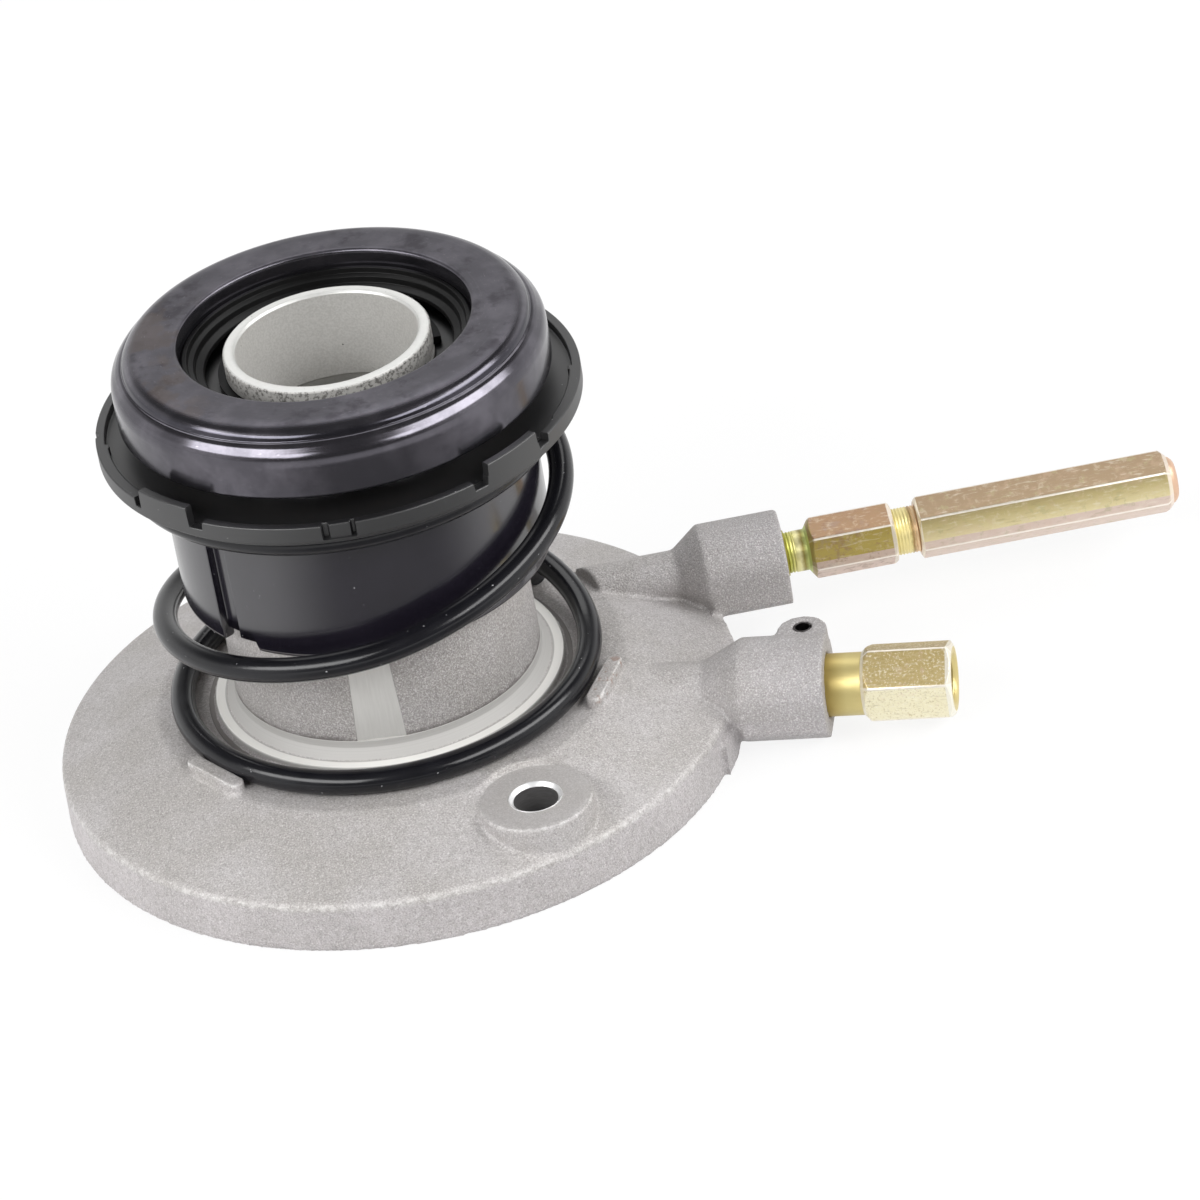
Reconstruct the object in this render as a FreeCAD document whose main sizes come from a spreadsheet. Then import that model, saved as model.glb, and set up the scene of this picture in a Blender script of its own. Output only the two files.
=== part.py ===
import FreeCAD, Part
import math
import os
import re
import Sketcher

# Concentric clutch slave cylinder.
# Frame: origin on the input shaft axis at the back face of the flange, Z up towards the release
# bearing, X parallel to the bleed pipe. All sizes are in millimetres.

doc = FreeCAD.newDocument("slave_cylinder")
sheet = doc.addObject("Spreadsheet::Sheet", "Sizes")

SIZES = [
    # Guide sleeve, then outwards to the oil chamber, the column and its foot
    ("sleeve_r", 19.0), ("sleeve_t", 2.3), ("sleeve_step", 0.5), ("sleeve_step_depth", 17.3),
    ("sleeve_reach", 5.5), ("sleeve_edge", 0.45), ("sleeve_fit", 0.02), ("seal_slot_z", 2.2),
    ("seal_slot_h", 2.2), ("seal_slot_depth", 1.7), ("stop_slot_h", 1.5), ("stop_slot_depth", 0.65),
    ("stop_ring_reach", 1.4), ("stop_play", 0.3), ("stop_ring_gap_angle", 28.0), ("ring_play", 0.05),
    ("chamber_w", 6.0), ("chamber_floor_z", 6.5), ("wiper_reach", 1.8), ("wiper_depth", 3.5),
    ("wiper_h", 2.9), ("column_wall", 1.8), ("column_draft", 0.2), ("column_top_z", 52.0),
    ("column_foot_h", 1.6), ("column_flat_cut", 0.18), ("column_flat_angle", -97.4),
    ("column_flat_w", 12.0), ("ring_gap", 1.8), ("ring_w", 2.2), ("ring_h", 1.5), ("seat_gap", 1.2),
    ("seat_margin", 3.55), ("seat_z", 16.9),
    # Flange: rim wall and shallow cone, underside channel with ribs
    ("rim_r", 64.0), ("rim_draft", 0.3), ("rim_h", 9.5), ("rim_round", 1.4), ("channel_in_r", 40.5),
    ("channel_wall", 6.5), ("channel_depth", 5.0), ("rib_w", 4.0), ("rib_angle", -21.0), ("rib_count", 8),
    # Bolt bosses
    ("bolt_inset", 11.4), ("bolt_angle", -65.9), ("boss_r", 10.6), ("boss_drop", 1.0), ("bolt_hole_r", 4.2),
    ("bolt_lip", 0.5), ("spot_h", 6.0),
    # Three lugs round the spring
    ("lug_play", 0.55), ("lug_t", 2.9), ("lug_w", 13.0), ("lug_h", 2.0), ("lug_root", 4.9),
    ("lug_corner", 0.95), ("lug_angle", -24.0), ("lug_count", 3),
    # Inlet arm, lengths counted outwards from the rim
    ("inlet_angle", -14.4), ("inlet_z", 9.5), ("inlet_neck_r", 5.7), ("inlet_arm_start", 27.0),
    ("inlet_cone_inset", 5.6), ("inlet_cone_w", 7.4), ("inlet_boss_w", 15.9), ("inlet_boss_r", 9.7),
    ("inlet_flat_z", 3.0), ("inlet_cut_z", 1.6), ("inlet_bevel", 2.2), ("inlet_socket_fit", 0.08),
    ("inlet_socket_depth", 13.7), ("inlet_drill_r", 2.0), ("inlet_drill_start", 1.0), ("pin_inset", 4.7),
    ("pin_side", 7.2), ("pin_r", 1.75), ("pin_bore_r", 1.35), ("pin_slit", 0.6), ("pin_foot_z", 4.2),
    ("pin_drop", 0.1), ("pin_play", 0.35), ("ear_side", 6.1), ("ear_r", 4.7), ("ear_z", 18.1),
    ("pad_rise", 1.0), ("pad_z", 6.3), ("pad_start", -26.9), ("pad_end", 4.0), ("high_pad_rise", 0.4),
    ("high_pad_start", -8.0), ("high_pad_end", 12.0), ("high_pad_z", 9.3),
    # Bleed arm, beside the axis and parallel to X
    ("bleed_side", 19.2), ("bleed_z", 15.0), ("bleed_neck_r", 4.7), ("bleed_arm_start", 36.0),
    ("bleed_cone_inset", 7.4), ("bleed_cone_w", 5.2), ("bleed_boss_w", 15.5), ("bleed_boss_r", 8.6),
    ("bleed_flat_z", 8.1), ("bleed_bevel", 1.4), ("bleed_drill_r", 1.25), ("bleed_drill_start", 13.0),
    ("bleed_thread_r", 4.0), ("bleed_thread_depth", 10.3), ("boss_edge", 0.2),
    # Preload spring
    ("spring_h", 56.0), ("wire_r", 2.3), ("coil_gap", 3.95), ("coil_play", 0.02),
    # Bearing carrier
    ("hub_fit", 0.05), ("hub_play", 0.1), ("hub_lip", 0.6), ("piston_drop", 1.9), ("floor_t", 2.7),
    ("wall_h", 1.6), ("wall_high", 2.3), ("wall_t", 1.7), ("wall_reach", 6.15), ("step_w", 1.2),
    ("step_h", 1.1), ("skirt_gap", 3.2), ("skirt_t", 2.4), ("skirt_h", 29.7), ("skirt_edge", 1.0),
    ("slot_angle", -141.3), ("slot_w", 4.6), ("slot_depth", 1.5), ("notch_w", 8.5), ("notch_h", 3.0),
    ("notch_slant", 1.0), ("window_angle", -95.2), ("window_w", 5.9), ("window_d", 1.2), ("window_h", 2.9),
    ("tab_w", 2.8), ("tab_set", 0.5), ("gap_w", 1.9), ("rim_gap_w", 3.0), ("nick_angle", 176.0),
    ("nick_w", 2.0), ("nick_d", 0.5),
    # Piston and seals
    ("piston_fit", 0.06), ("piston_h", 31.0), ("cup_h", 4.5), ("cup_fit", 0.03), ("cup_lip", 1.1),
    ("cup_depth", 2.6),
    # Release bearing, heights counted from the balls or down from the face
    ("ball_reach", 7.1), ("ball_rise", 8.4), ("ball_r", 3.5), ("ball_play", 0.04), ("ball_count", 20),
    ("race_fit", 0.06), ("race_w", 1.0), ("race_drop", 1.6), ("face_hole_gap", 1.9), ("face_rise", 8.9),
    ("outer_reach", 7.8), ("shoulder_w", 2.5), ("face_edge_w", 2.8), ("shoulder_drop", 2.5),
    ("shoulder_step", 0.35), ("outer_drop", 6.6), ("outer_foot_drop", 3.7), ("lip_w", 3.2), ("lip_h", 1.9),
    ("groove_w", 0.9), ("ceiling_rise", 4.8), ("cage_half", 0.7), ("cage_drop", 5.8), ("cage_rise", 1.6),
    ("pocket_play", 0.15), ("shield_reach", 1.3), ("shield_drop", 0.6), ("shield_t", 0.85), ("dust_t", 0.9),
    ("dust_foot_drop", 0.2), ("dust_drop", 1.9), ("dust_fit", 0.02), ("clip_depth", 0.8),
    ("clip_reach", 1.1), ("clip_h", 1.0), ("clip_gap_angle", 30.0),
    # Inlet adaptor, lengths along its own axis
    ("adaptor_r", 5.85), ("adaptor_play", 0.6), ("adaptor_gap", 6.4), ("adaptor_hex_w", 16.9),
    ("adaptor_across", 13.2), ("adaptor_turn", 36.5), ("adaptor_face_r", 6.3), ("adaptor_bore_r", 1.8),
    ("port_r", 4.4), ("port_depth", 12.0), ("pin_slot_half", 1.95), ("ring_slot_inset", 1.7),
    ("ring_slot_w", 2.4), ("ring_wire_r", 0.9), ("bevel_angle", 34.0),
    # Bleed adaptor and its long extension, lengths one after another along X
    ("neck_r", 3.95), ("neck_w", 4.45), ("collar_r", 4.4), ("collar_w", 0.5), ("short_across", 10.6),
    ("short_w", 16.9), ("short_face_r", 5.2), ("second_neck_r", 4.5), ("second_neck_w", 4.55),
    ("long_across", 10.8), ("long_w", 48.8), ("long_face_r", 5.1), ("long_tip_r", 4.8), ("tip_angle", 45.0),
    ("nose_w", 1.3), ("nose_r", 4.6), ("nose_tip_r", 3.85), ("thread_pitch", 0.65), ("thread_depth", 0.14),
    ("spigot_w", 8.8), ("spigot_r", 4.2), ("spigot_fit", 0.1), ("spigot_bore_r", 1.3), ("spigot_play", 1.0),
    ("short_turn", 15.0), ("long_turn", 15.5), ("vent_r", 1.3),
]
# Sizes that follow from those above
DERIVED = {
    "sleeve_bore_r": "sleeve_r - sleeve_t", "sleeve_low_bore_r": "sleeve_bore_r + sleeve_step",
    "seal_slot_r": "sleeve_r + seal_slot_depth", "stop_slot_r": "sleeve_r - stop_slot_depth",
    "stop_ring_r": "sleeve_r + stop_ring_reach", "chamber_r": "sleeve_r + chamber_w",
    "wiper_r": "chamber_r + wiper_reach", "wiper_z": "column_top_z - wiper_depth",
    "column_top_r": "wiper_r + column_wall", "column_foot_r": "column_top_r + column_draft",
    "column_flat_dist": "column_top_r - column_flat_cut", "ring_in_r": "column_foot_r + ring_gap",
    "ring_out_r": "ring_in_r + ring_w", "ring_z": "seat_z + ring_h",
    "column_foot_z": "ring_z + column_foot_h", "seat_in_r": "ring_out_r + seat_gap",
    "seat_out_r": "coil_r + wire_r + seat_margin", "rim_top_r": "rim_r - rim_draft",
    "channel_out_r": "rim_r - channel_wall", "bolt_circle_r": "rim_r - bolt_inset",
    "flange_slope": "(seat_z - rim_h) / (rim_top_r - seat_out_r)",
    "boss_z": "seat_z - boss_drop - max(0; bolt_circle_r - boss_r - seat_out_r) * flange_slope",
    "lug_in_r": "coil_r + wire_r + lug_play", "lug_z": "seat_z + lug_h",
    "lug_foot_z": "seat_z - lug_root", "inlet_cone_start": "rim_r - inlet_cone_inset",
    "inlet_boss_start": "inlet_cone_start + inlet_cone_w",
    "inlet_boss_end": "inlet_boss_start + inlet_boss_w", "inlet_socket_r": "adaptor_r + inlet_socket_fit",
    "inlet_socket_start": "inlet_boss_end - inlet_socket_depth", "pin_along": "inlet_boss_end - pin_inset",
    "pin_top_z": "ear_z - pin_drop", "pin_slot_r": "pin_side - pin_r - pin_play",
    "pad_r": "rim_r + pad_rise", "high_pad_r": "rim_r + high_pad_rise",
    "bleed_cone_start": "rim_r - bleed_cone_inset", "bleed_boss_start": "bleed_cone_start + bleed_cone_w",
    "bleed_boss_end": "bleed_boss_start + bleed_boss_w",
    "bleed_thread_start": "bleed_boss_end - bleed_thread_depth", "plate_z": "seat_z + spring_h",
    "piston_top_z": "plate_z - piston_drop", "floor_z": "plate_z + floor_t", "step_z": "plate_z + step_h",
    "wall_z": "floor_z + wall_h", "window_z": "wall_z - window_h", "skirt_foot_z": "plate_z - skirt_h",
    "notch_z": "skirt_foot_z + notch_h", "hub_in_r": "sleeve_r + hub_fit",
    "hub_out_r": "chamber_r - hub_play", "hub_top_z": "race_top_z + clip_h + 2 * ring_play + hub_lip",
    "stop_slot_z": "hub_top_z + stop_play", "sleeve_top_z": "stop_slot_z + sleeve_reach",
    "sleeve_step_z": "sleeve_top_z - sleeve_step_depth", "skirt_in_r": "column_foot_r + skirt_gap",
    "skirt_r": "skirt_in_r + skirt_t", "coil_r": "skirt_r + coil_gap", "wall_r": "coil_r + wall_reach",
    "wall_in_r": "wall_r - wall_t", "step_r": "wall_r - step_w", "piston_in_r": "sleeve_r + piston_fit",
    "piston_out_r": "chamber_r - piston_fit", "piston_foot_z": "piston_top_z - piston_h",
    "cup_foot_z": "piston_foot_z - cup_h", "cup_in_r": "sleeve_r + cup_fit",
    "cup_out_r": "chamber_r - cup_fit", "wiper_in_r": "chamber_r - cup_fit",
    "ball_circle_r": "hub_out_r + ball_reach", "ball_z": "floor_z + ball_rise",
    "race_in_r": "hub_out_r + race_fit", "race_out_r": "ball_circle_r - race_w",
    "race_top_z": "ball_z - race_drop", "face_hole_r": "hub_out_r + face_hole_gap",
    "face_z": "ball_z + face_rise", "outer_r": "ball_circle_r + outer_reach",
    "shoulder_r": "outer_r - shoulder_w", "face_flat_r": "shoulder_r - face_edge_w",
    "shoulder_z": "face_z - shoulder_drop", "outer_top_z": "face_z - outer_drop",
    "outer_foot_z": "ball_z - outer_foot_drop", "lip_in_r": "outer_r - lip_w",
    "lip_z": "outer_foot_z + lip_h", "groove_edge_r": "lip_in_r - groove_w",
    "ceiling_z": "ball_z + ceiling_rise", "cage_in_r": "ball_circle_r - cage_half",
    "cage_out_r": "ball_circle_r + cage_half", "cage_foot_z": "ball_z - cage_drop",
    "cage_top_z": "ball_z + cage_rise", "pocket_r": "ball_r + pocket_play",
    "shield_in_r": "ball_circle_r + shield_reach", "shield_z": "outer_foot_z - shield_drop",
    "dust_in_r": "face_hole_r - dust_t", "dust_foot_z": "ball_z - dust_foot_drop",
    "dust_top_z": "face_z - dust_drop", "clip_slot_r": "hub_out_r - clip_depth",
    "clip_r": "hub_out_r + clip_reach", "adaptor_start": "inlet_socket_start + adaptor_play",
    "adaptor_hex_start": "inlet_boss_end + adaptor_gap", "adaptor_end": "adaptor_hex_start + adaptor_hex_w",
    "ring_slot_start": "adaptor_start + ring_slot_inset", "ring_slot_r": "adaptor_r - 2 * ring_wire_r",
    "short_start": "bleed_boss_end + neck_w", "short_end": "short_start + short_w",
    "long_start": "short_end + second_neck_w", "long_end": "long_start + long_w",
    "nose_end": "long_end + nose_w", "spigot_end": "long_start + spigot_w",
    "extension_bore_r": "spigot_r + spigot_fit", "extension_bore_end": "spigot_end + spigot_play",
}
for row, (alias, number) in enumerate(SIZES, 1):
    sheet.set("A%d" % row, alias)
    sheet.set("B%d" % row, str(number))
    sheet.setAlias("B%d" % row, alias)
doc.recompute()
NAMES = {alias for alias, _ in SIZES}
WORD = re.compile(r"[a-z_][a-z_0-9]*")


def link(text):
    """Expression with its sizes turned into references to the sheet, and derived sizes written out."""
    def written(match):
        word = match.group()
        if word in DERIVED:
            return "(%s)" % link(DERIVED[word])
        return "Sizes." + word if word in NAMES else word
    return WORD.sub(written, str(text))


def size(text):
    """Number that an expression of sizes gives."""
    result = sheet.evalExpression(link(text))
    return float(getattr(result, "Value", result))


def bind(item, path, text):
    item.setExpression(path, link(text))


def make_body(label):
    body = doc.addObject("PartDesign::Body", label)
    body.Label = label
    return body


def plane_of(body, role):
    return next(f for f in body.Origin.OriginFeatures if f.Role == role)


def new_sketch(body, name, role, base=("0", "0", "0"), turn=None):
    """Sketch on a plane of the body's origin, moved by base and turned by (axis, angle) there."""
    sketch = body.newObject("Sketcher::SketchObject", name)
    sketch.AttachmentSupport = [(plane_of(body, role), "")]
    sketch.MapMode = "FlatFace"
    if turn:
        sketch.AttachmentOffset = FreeCAD.Placement(FreeCAD.Vector(),
                                                    FreeCAD.Rotation(turn[0], size(turn[1])))
        bind(sketch, "AttachmentOffset.Rotation.Angle", turn[1])
    for letter, text in zip("xyz", base):
        bind(sketch, "AttachmentOffset.Base." + letter, text)
    return sketch


def fix_point(sketch, geometry, which, at):
    """Hold one point of a sketch at (x, y), both given as expressions."""
    for kind, axis, text in (("DistanceX", -2, at[0]), ("DistanceY", -1, at[1])):
        number = size(text)
        if abs(number) < 1e-7:
            sketch.addConstraint(Sketcher.Constraint("PointOnObject", geometry, which, axis))
        else:
            index = sketch.addConstraint(Sketcher.Constraint(kind, -1, 1, geometry, which, number))
            bind(sketch, "Constraints[%d]" % index, text)


def add_outline(sketch, points):
    """Closed outline of straight sides through the points."""
    numbers = [FreeCAD.Vector(size(x), size(y), 0) for x, y in points]
    first = sketch.GeometryCount
    count = len(points)
    for i in range(count):
        sketch.addGeometry(Part.LineSegment(numbers[i], numbers[(i + 1) % count]))
    for i in range(count):
        after = first + (i + 1) % count
        sketch.addConstraint(Sketcher.Constraint("Coincident", first + i, 2, after, 1))
    for i in range(count):
        fix_point(sketch, first + i, 1, points[i])


def add_circle(sketch, centre, radius):
    middle = FreeCAD.Vector(size(centre[0]), size(centre[1]), 0)
    index = sketch.addGeometry(Part.Circle(middle, FreeCAD.Vector(0, 0, 1), size(radius)))
    fix_point(sketch, index, 3, centre)
    held = sketch.addConstraint(Sketcher.Constraint("Radius", index, size(radius)))
    bind(sketch, "Constraints[%d]" % held, radius)


def outline(body, name, role, points, base=("0", "0", "0"), turn=None):
    sketch = new_sketch(body, name, role, base, turn)
    add_outline(sketch, points)
    return sketch


def circles(body, name, role, rings, base=("0", "0", "0"), turn=None):
    sketch = new_sketch(body, name, role, base, turn)
    for centre, radius in rings:
        add_circle(sketch, centre, radius)
    return sketch


def finish(feature):
    doc.recompute()
    if not feature.isValid() or feature.Shape.isNull():
        raise RuntimeError("feature failed: " + feature.Label)
    return feature


def turned(body, name, sketch, axis="V_Axis", cut=False, angle="360"):
    """Solid or cut made by turning a sketch round one of its axes."""
    kind = "PartDesign::Groove" if cut else "PartDesign::Revolution"
    before = body.Shape.Volume if cut else 0
    feature = body.newObject(kind, name)
    feature.Profile = sketch
    feature.ReferenceAxis = (sketch, [axis])
    bind(feature, "Angle", angle)
    sketch.Visibility = False
    finish(feature)
    if cut and abs(body.Shape.Volume - before) < 1e-3:
        raise RuntimeError("nothing was cut: " + name)
    return feature


def padded(body, name, sketch, length, cut=False, reverse=False):
    """Solid or cut made by moving a sketch along its normal."""
    kind = "PartDesign::Pocket" if cut else "PartDesign::Pad"
    before = body.Shape.Volume if cut else 0
    feature = body.newObject(kind, name)
    feature.Profile = sketch
    bind(feature, "Length", length)
    feature.Reversed = reverse
    sketch.Visibility = False
    finish(feature)
    if cut and abs(body.Shape.Volume - before) < 1e-3:
        raise RuntimeError("nothing was cut: " + name)
    return feature


def round_pattern(body, name, feature, sketch, count, axis="N_Axis"):
    pattern = body.newObject("PartDesign::PolarPattern", name)
    pattern.Originals = [feature]
    pattern.Axis = (sketch, [axis])
    pattern.Angle = 360
    bind(pattern, "Occurrences", count)
    body.Tip = pattern
    return finish(pattern)


def round_edges(body, name, radius, wanted):
    """Rounds of one radius on the edges that the test picks."""
    base = body.Tip
    picked = ["Edge%d" % (i + 1) for i, edge in enumerate(base.Shape.Edges) if wanted(edge)]
    feature = body.newObject("PartDesign::Fillet", name)
    feature.Base = (base, picked)
    bind(feature, "Radius", radius)
    return finish(feature)


def is_ring(radius, height):
    """Test for round edges about Z of a given radius at a given height."""
    wide, high = size(radius), size(height)

    def test(edge):
        curve = edge.Curve
        if not isinstance(curve, Part.Circle) or abs(curve.Radius - wide) > 0.02:
            return False
        middle = curve.Center
        return math.hypot(middle.x, middle.y) < 0.02 and abs(middle.z - high) < 0.02
    return test


UP = FreeCAD.Vector(0, 1, 0)
OUT = FreeCAD.Vector(0, 0, 1)


# Housing

def flange_and_column(body):
    points = [("sleeve_r", "0"), ("rim_r", "0"), ("rim_top_r", "rim_h"), ("seat_out_r", "seat_z"),
              ("ring_out_r", "seat_z"), ("ring_out_r", "ring_z"), ("ring_in_r", "ring_z"),
              ("column_foot_r", "column_foot_z"), ("column_top_r", "column_top_z"),
              ("wiper_r", "column_top_z"), ("wiper_r", "wiper_z"), ("chamber_r", "wiper_z"),
              ("chamber_r", "chamber_floor_z"), ("sleeve_r", "chamber_floor_z")]
    turned(body, "FlangeAndColumn", outline(body, "FlangeProfile", "XZ_Plane", points))
    round_edges(body, "RimRound", "rim_round", is_ring("rim_top_r", "rim_h"))
    channel = [("channel_in_r", "-1"), ("channel_out_r", "-1"), ("channel_out_r", "channel_depth"),
               ("channel_in_r", "channel_depth")]
    turned(body, "UndersideChannel", outline(body, "ChannelProfile", "XZ_Plane", channel), cut=True)
    rib = outline(body, "RibOutline", "XY_Plane",
                  [("channel_in_r - 1", "-rib_w / 2"), ("channel_out_r + 1", "-rib_w / 2"),
                   ("channel_out_r + 1", "rib_w / 2"), ("channel_in_r - 1", "rib_w / 2")],
                  turn=(OUT, "rib_angle"))
    pad = padded(body, "Rib", rib, "channel_depth + 0.5")
    round_pattern(body, "Ribs", pad, rib, "rib_count")


def bolt_bosses(body):
    spots = (("bolt_circle_r", "0"), ("-bolt_circle_r", "0"))
    turn = (OUT, "bolt_angle")
    padded(body, "BoltBosses", circles(body, "BossOutline", "XY_Plane", [(s, "boss_r") for s in spots],
                                       turn=turn),
           "boss_z")
    padded(body, "SpotFaces", circles(body, "SpotOutline", "XY_Plane", [(s, "boss_r") for s in spots],
                                      ("0", "0", "boss_z"), turn), "spot_h", cut=True, reverse=True)
    padded(body, "BoltHoles", circles(body, "BoltHoleOutline", "XY_Plane",
                                      [(s, "bolt_hole_r") for s in spots],
                                      ("0", "0", "-1"), turn), "boss_z + 2", cut=True, reverse=True)
    lip = size("bolt_hole_r")
    base = body.Tip
    high = size("boss_z")
    edges = ["Edge%d" % (i + 1) for i, e in enumerate(base.Shape.Edges)
             if isinstance(e.Curve, Part.Circle) and abs(e.Curve.Radius - lip) < 1e-3
             and abs(e.Curve.Center.z - high) < 1e-3]
    chamfer = body.newObject("PartDesign::Chamfer", "BoltHoleLips")
    chamfer.Base = (base, edges)
    bind(chamfer, "Size", "bolt_lip")
    finish(chamfer)


def arm(body, name, points, base, turn):
    sketch = outline(body, name + "Profile", "XZ_Plane", points, base, turn)
    return turned(body, name, sketch, "H_Axis")


def boss_foot(body, arm_name, base, turn=None):
    """Straight lower half of a boss: upright sides down to a flat foot with bevelled edges."""
    value = lambda word: "%s_%s" % (arm_name, word)
    radius, bevel = value("boss_r"), value("bevel")
    low = "%s - %s" % (value("flat_z"), value("z"))
    points = [("-" + radius, "0"), ("-" + radius, low + " + " + bevel), ("-%s + %s" % (radius, bevel), low),
              ("%s - %s" % (radius, bevel), low), (radius, low + " + " + bevel), (radius, "0")]
    name = arm_name.capitalize() + "Foot"
    padded(body, name, outline(body, name + "Outline", "YZ_Plane", points, base, turn),
           "%s - %s" % (value("boss_end"), value("boss_start")))


def inlet_arm(body):
    turn = (UP, "inlet_angle")
    base = ("0", "inlet_z", "0")
    arm(body, "InletArm", [("inlet_arm_start", "0"), ("inlet_arm_start", "inlet_neck_r"),
                           ("inlet_cone_start", "inlet_neck_r"), ("inlet_boss_start", "inlet_boss_r"),
                           ("inlet_boss_end - boss_edge", "inlet_boss_r"),
                           ("inlet_boss_end", "inlet_boss_r - boss_edge"), ("inlet_boss_end", "0")], base,
                           turn)
    foot_base = ("inlet_boss_start * sin(inlet_angle * 1 deg)", "inlet_z",
                 "inlet_boss_start * cos(inlet_angle * 1 deg)")
    boss_foot(body, "inlet", foot_base, turn)
    padded(body, "PinEar", circles(body, "EarOutline", "XY_Plane", [(("pin_along", "ear_side"), "ear_r")],
                                   ("0", "0", "inlet_flat_z"), (OUT, "inlet_angle")),
                                   "ear_z - inlet_flat_z")
    web = outline(body, "EarWebOutline", "XY_Plane",
                  [("pin_along - ear_r", "0"), ("pin_along + ear_r - 0.2", "0"),
                   ("pin_along + ear_r - 0.2", "ear_side"),
                   ("pin_along - ear_r", "ear_side")], ("0", "0", "inlet_flat_z"), (OUT, "inlet_angle"))
    padded(body, "EarWeb", web, "ear_z - inlet_flat_z")
    flat = outline(body, "InletFlatOutline", "XY_Plane",
                   [("rim_r + 0.4", "-inlet_boss_r - 2"), ("inlet_boss_end + 1", "-inlet_boss_r - 2"),
                    ("inlet_boss_end + 1", "inlet_boss_r + 4"), ("rim_r + 0.4", "inlet_boss_r + 4")],
                   ("0", "0", "inlet_cut_z - 8"), (OUT, "inlet_angle"))
    padded(body, "InletFlat", flat, "8", cut=True, reverse=True)


def bleed_arm(body):
    base = ("0", "bleed_z", "-bleed_side")
    arm(body, "BleedArm", [("bleed_arm_start", "0"), ("bleed_arm_start", "bleed_neck_r"),
                           ("bleed_cone_start", "bleed_neck_r"), ("bleed_boss_start", "bleed_boss_r"),
                           ("bleed_boss_end - boss_edge", "bleed_boss_r"),
                           ("bleed_boss_end", "bleed_boss_r - boss_edge"), ("bleed_boss_end", "0")], base,
                           None)
    boss_foot(body, "bleed", ("bleed_side", "bleed_z", "bleed_boss_start"))
    flat = outline(body, "BleedFlatOutline", "XY_Plane",
                   [("rim_r - 1.2", "bleed_side - bleed_boss_r - 1"),
                    ("bleed_boss_end + 1", "bleed_side - bleed_boss_r - 1"),
                    ("bleed_boss_end + 1", "bleed_side + bleed_boss_r + 1"),
                    ("rim_r - 1.2", "bleed_side + bleed_boss_r + 1")], ("0", "0", "bleed_flat_z - 9"))
    padded(body, "BleedFlat", flat, "9", cut=True, reverse=True)


def drillings(body):
    inlet = [("chamber_r - inlet_drill_start", "0"), ("chamber_r - inlet_drill_start", "inlet_drill_r"),
             ("inlet_socket_start", "inlet_drill_r"),
             ("inlet_socket_start", "inlet_socket_r"), ("inlet_boss_end + 1", "inlet_socket_r"),
             ("inlet_boss_end + 1", "0")]
    turned(body, "InletDrilling", outline(body, "InletDrillProfile", "XZ_Plane", inlet,
                                          ("0", "inlet_z", "0"),
                                          (UP, "inlet_angle")), "H_Axis", cut=True)
    bleed = [("chamber_r - bleed_drill_start", "0"), ("chamber_r - bleed_drill_start", "bleed_drill_r"),
             ("bleed_thread_start", "bleed_drill_r"),
             ("bleed_thread_start", "bleed_thread_r"), ("bleed_boss_end + 1", "bleed_thread_r"),
             ("bleed_boss_end + 1", "0")]
    turned(body, "BleedDrilling", outline(body, "BleedDrillProfile", "XZ_Plane", bleed,
                                          ("0", "bleed_z", "-bleed_side")), "H_Axis", cut=True)
    pin = circles(body, "PinHoleOutline", "XY_Plane", [(("pin_along", "pin_side"), "pin_r")],
                  ("0", "0", "0"), (OUT, "inlet_angle"))
    padded(body, "PinHole", pin, "ear_z + 1", cut=True, reverse=True)


def rim_pad(body, name, prefix):
    """Thin raised strip of the rim wall beside the arms."""
    steps = 4
    part = "({0}_start + ({0}_end - {0}_start) * {1} / {2}) * 1 deg"
    near, far = [], []
    for i in range(steps + 1):
        angle = part.format(prefix, i, steps)
        near.append(("(rim_r - 2) * cos(%s)" % angle, "(rim_r - 2) * sin(%s)" % angle))
        far.append(("%s_r * cos(%s)" % (prefix, angle), "%s_r * sin(%s)" % (prefix, angle)))
    padded(body, name, outline(body, name + "Outline", "XY_Plane", near + far[::-1]), prefix + "_z")


def lugs(body):
    sketch = outline(body, "LugOutline", "XY_Plane",
                     [("lug_in_r + lug_corner", "-lug_w / 2"),
                      ("lug_in_r + lug_t - lug_corner", "-lug_w / 2"),
                      ("lug_in_r + lug_t", "-lug_w / 2 + lug_corner"),
                      ("lug_in_r + lug_t", "lug_w / 2 - lug_corner"),
                      ("lug_in_r + lug_t - lug_corner", "lug_w / 2"),
                      ("lug_in_r + lug_corner", "lug_w / 2"),
                      ("lug_in_r", "lug_w / 2 - lug_corner"), ("lug_in_r", "-lug_w / 2 + lug_corner")],
                     ("0", "0", "lug_foot_z"), (OUT, "lug_angle"))
    pad = padded(body, "Lug", sketch, "lug_z - lug_foot_z")
    round_pattern(body, "Lugs", pad, sketch, "lug_count")


def turn_seat(body):
    """Clears the spring seat of what the bleed arm adds above it."""
    points = [("seat_in_r", "seat_z"), ("seat_out_r", "seat_z"), ("seat_out_r", "seat_z + spot_h"),
              ("seat_in_r", "seat_z + spot_h")]
    turned(body, "SeatTurning", outline(body, "SeatTurningProfile", "XZ_Plane", points), cut=True)


def column_flat(body):
    sketch = outline(body, "ColumnFlatOutline", "XY_Plane",
                     [("column_flat_dist", "-column_flat_w / 2"), ("ring_in_r - 0.1", "-column_flat_w / 2"),
                      ("ring_in_r - 0.1", "column_flat_w / 2"), ("column_flat_dist", "column_flat_w / 2")],
                     ("0", "0", "column_foot_z"), (OUT, "column_flat_angle"))
    padded(body, "ColumnFlat", sketch, "column_top_z - column_foot_z", cut=True, reverse=True)


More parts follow.
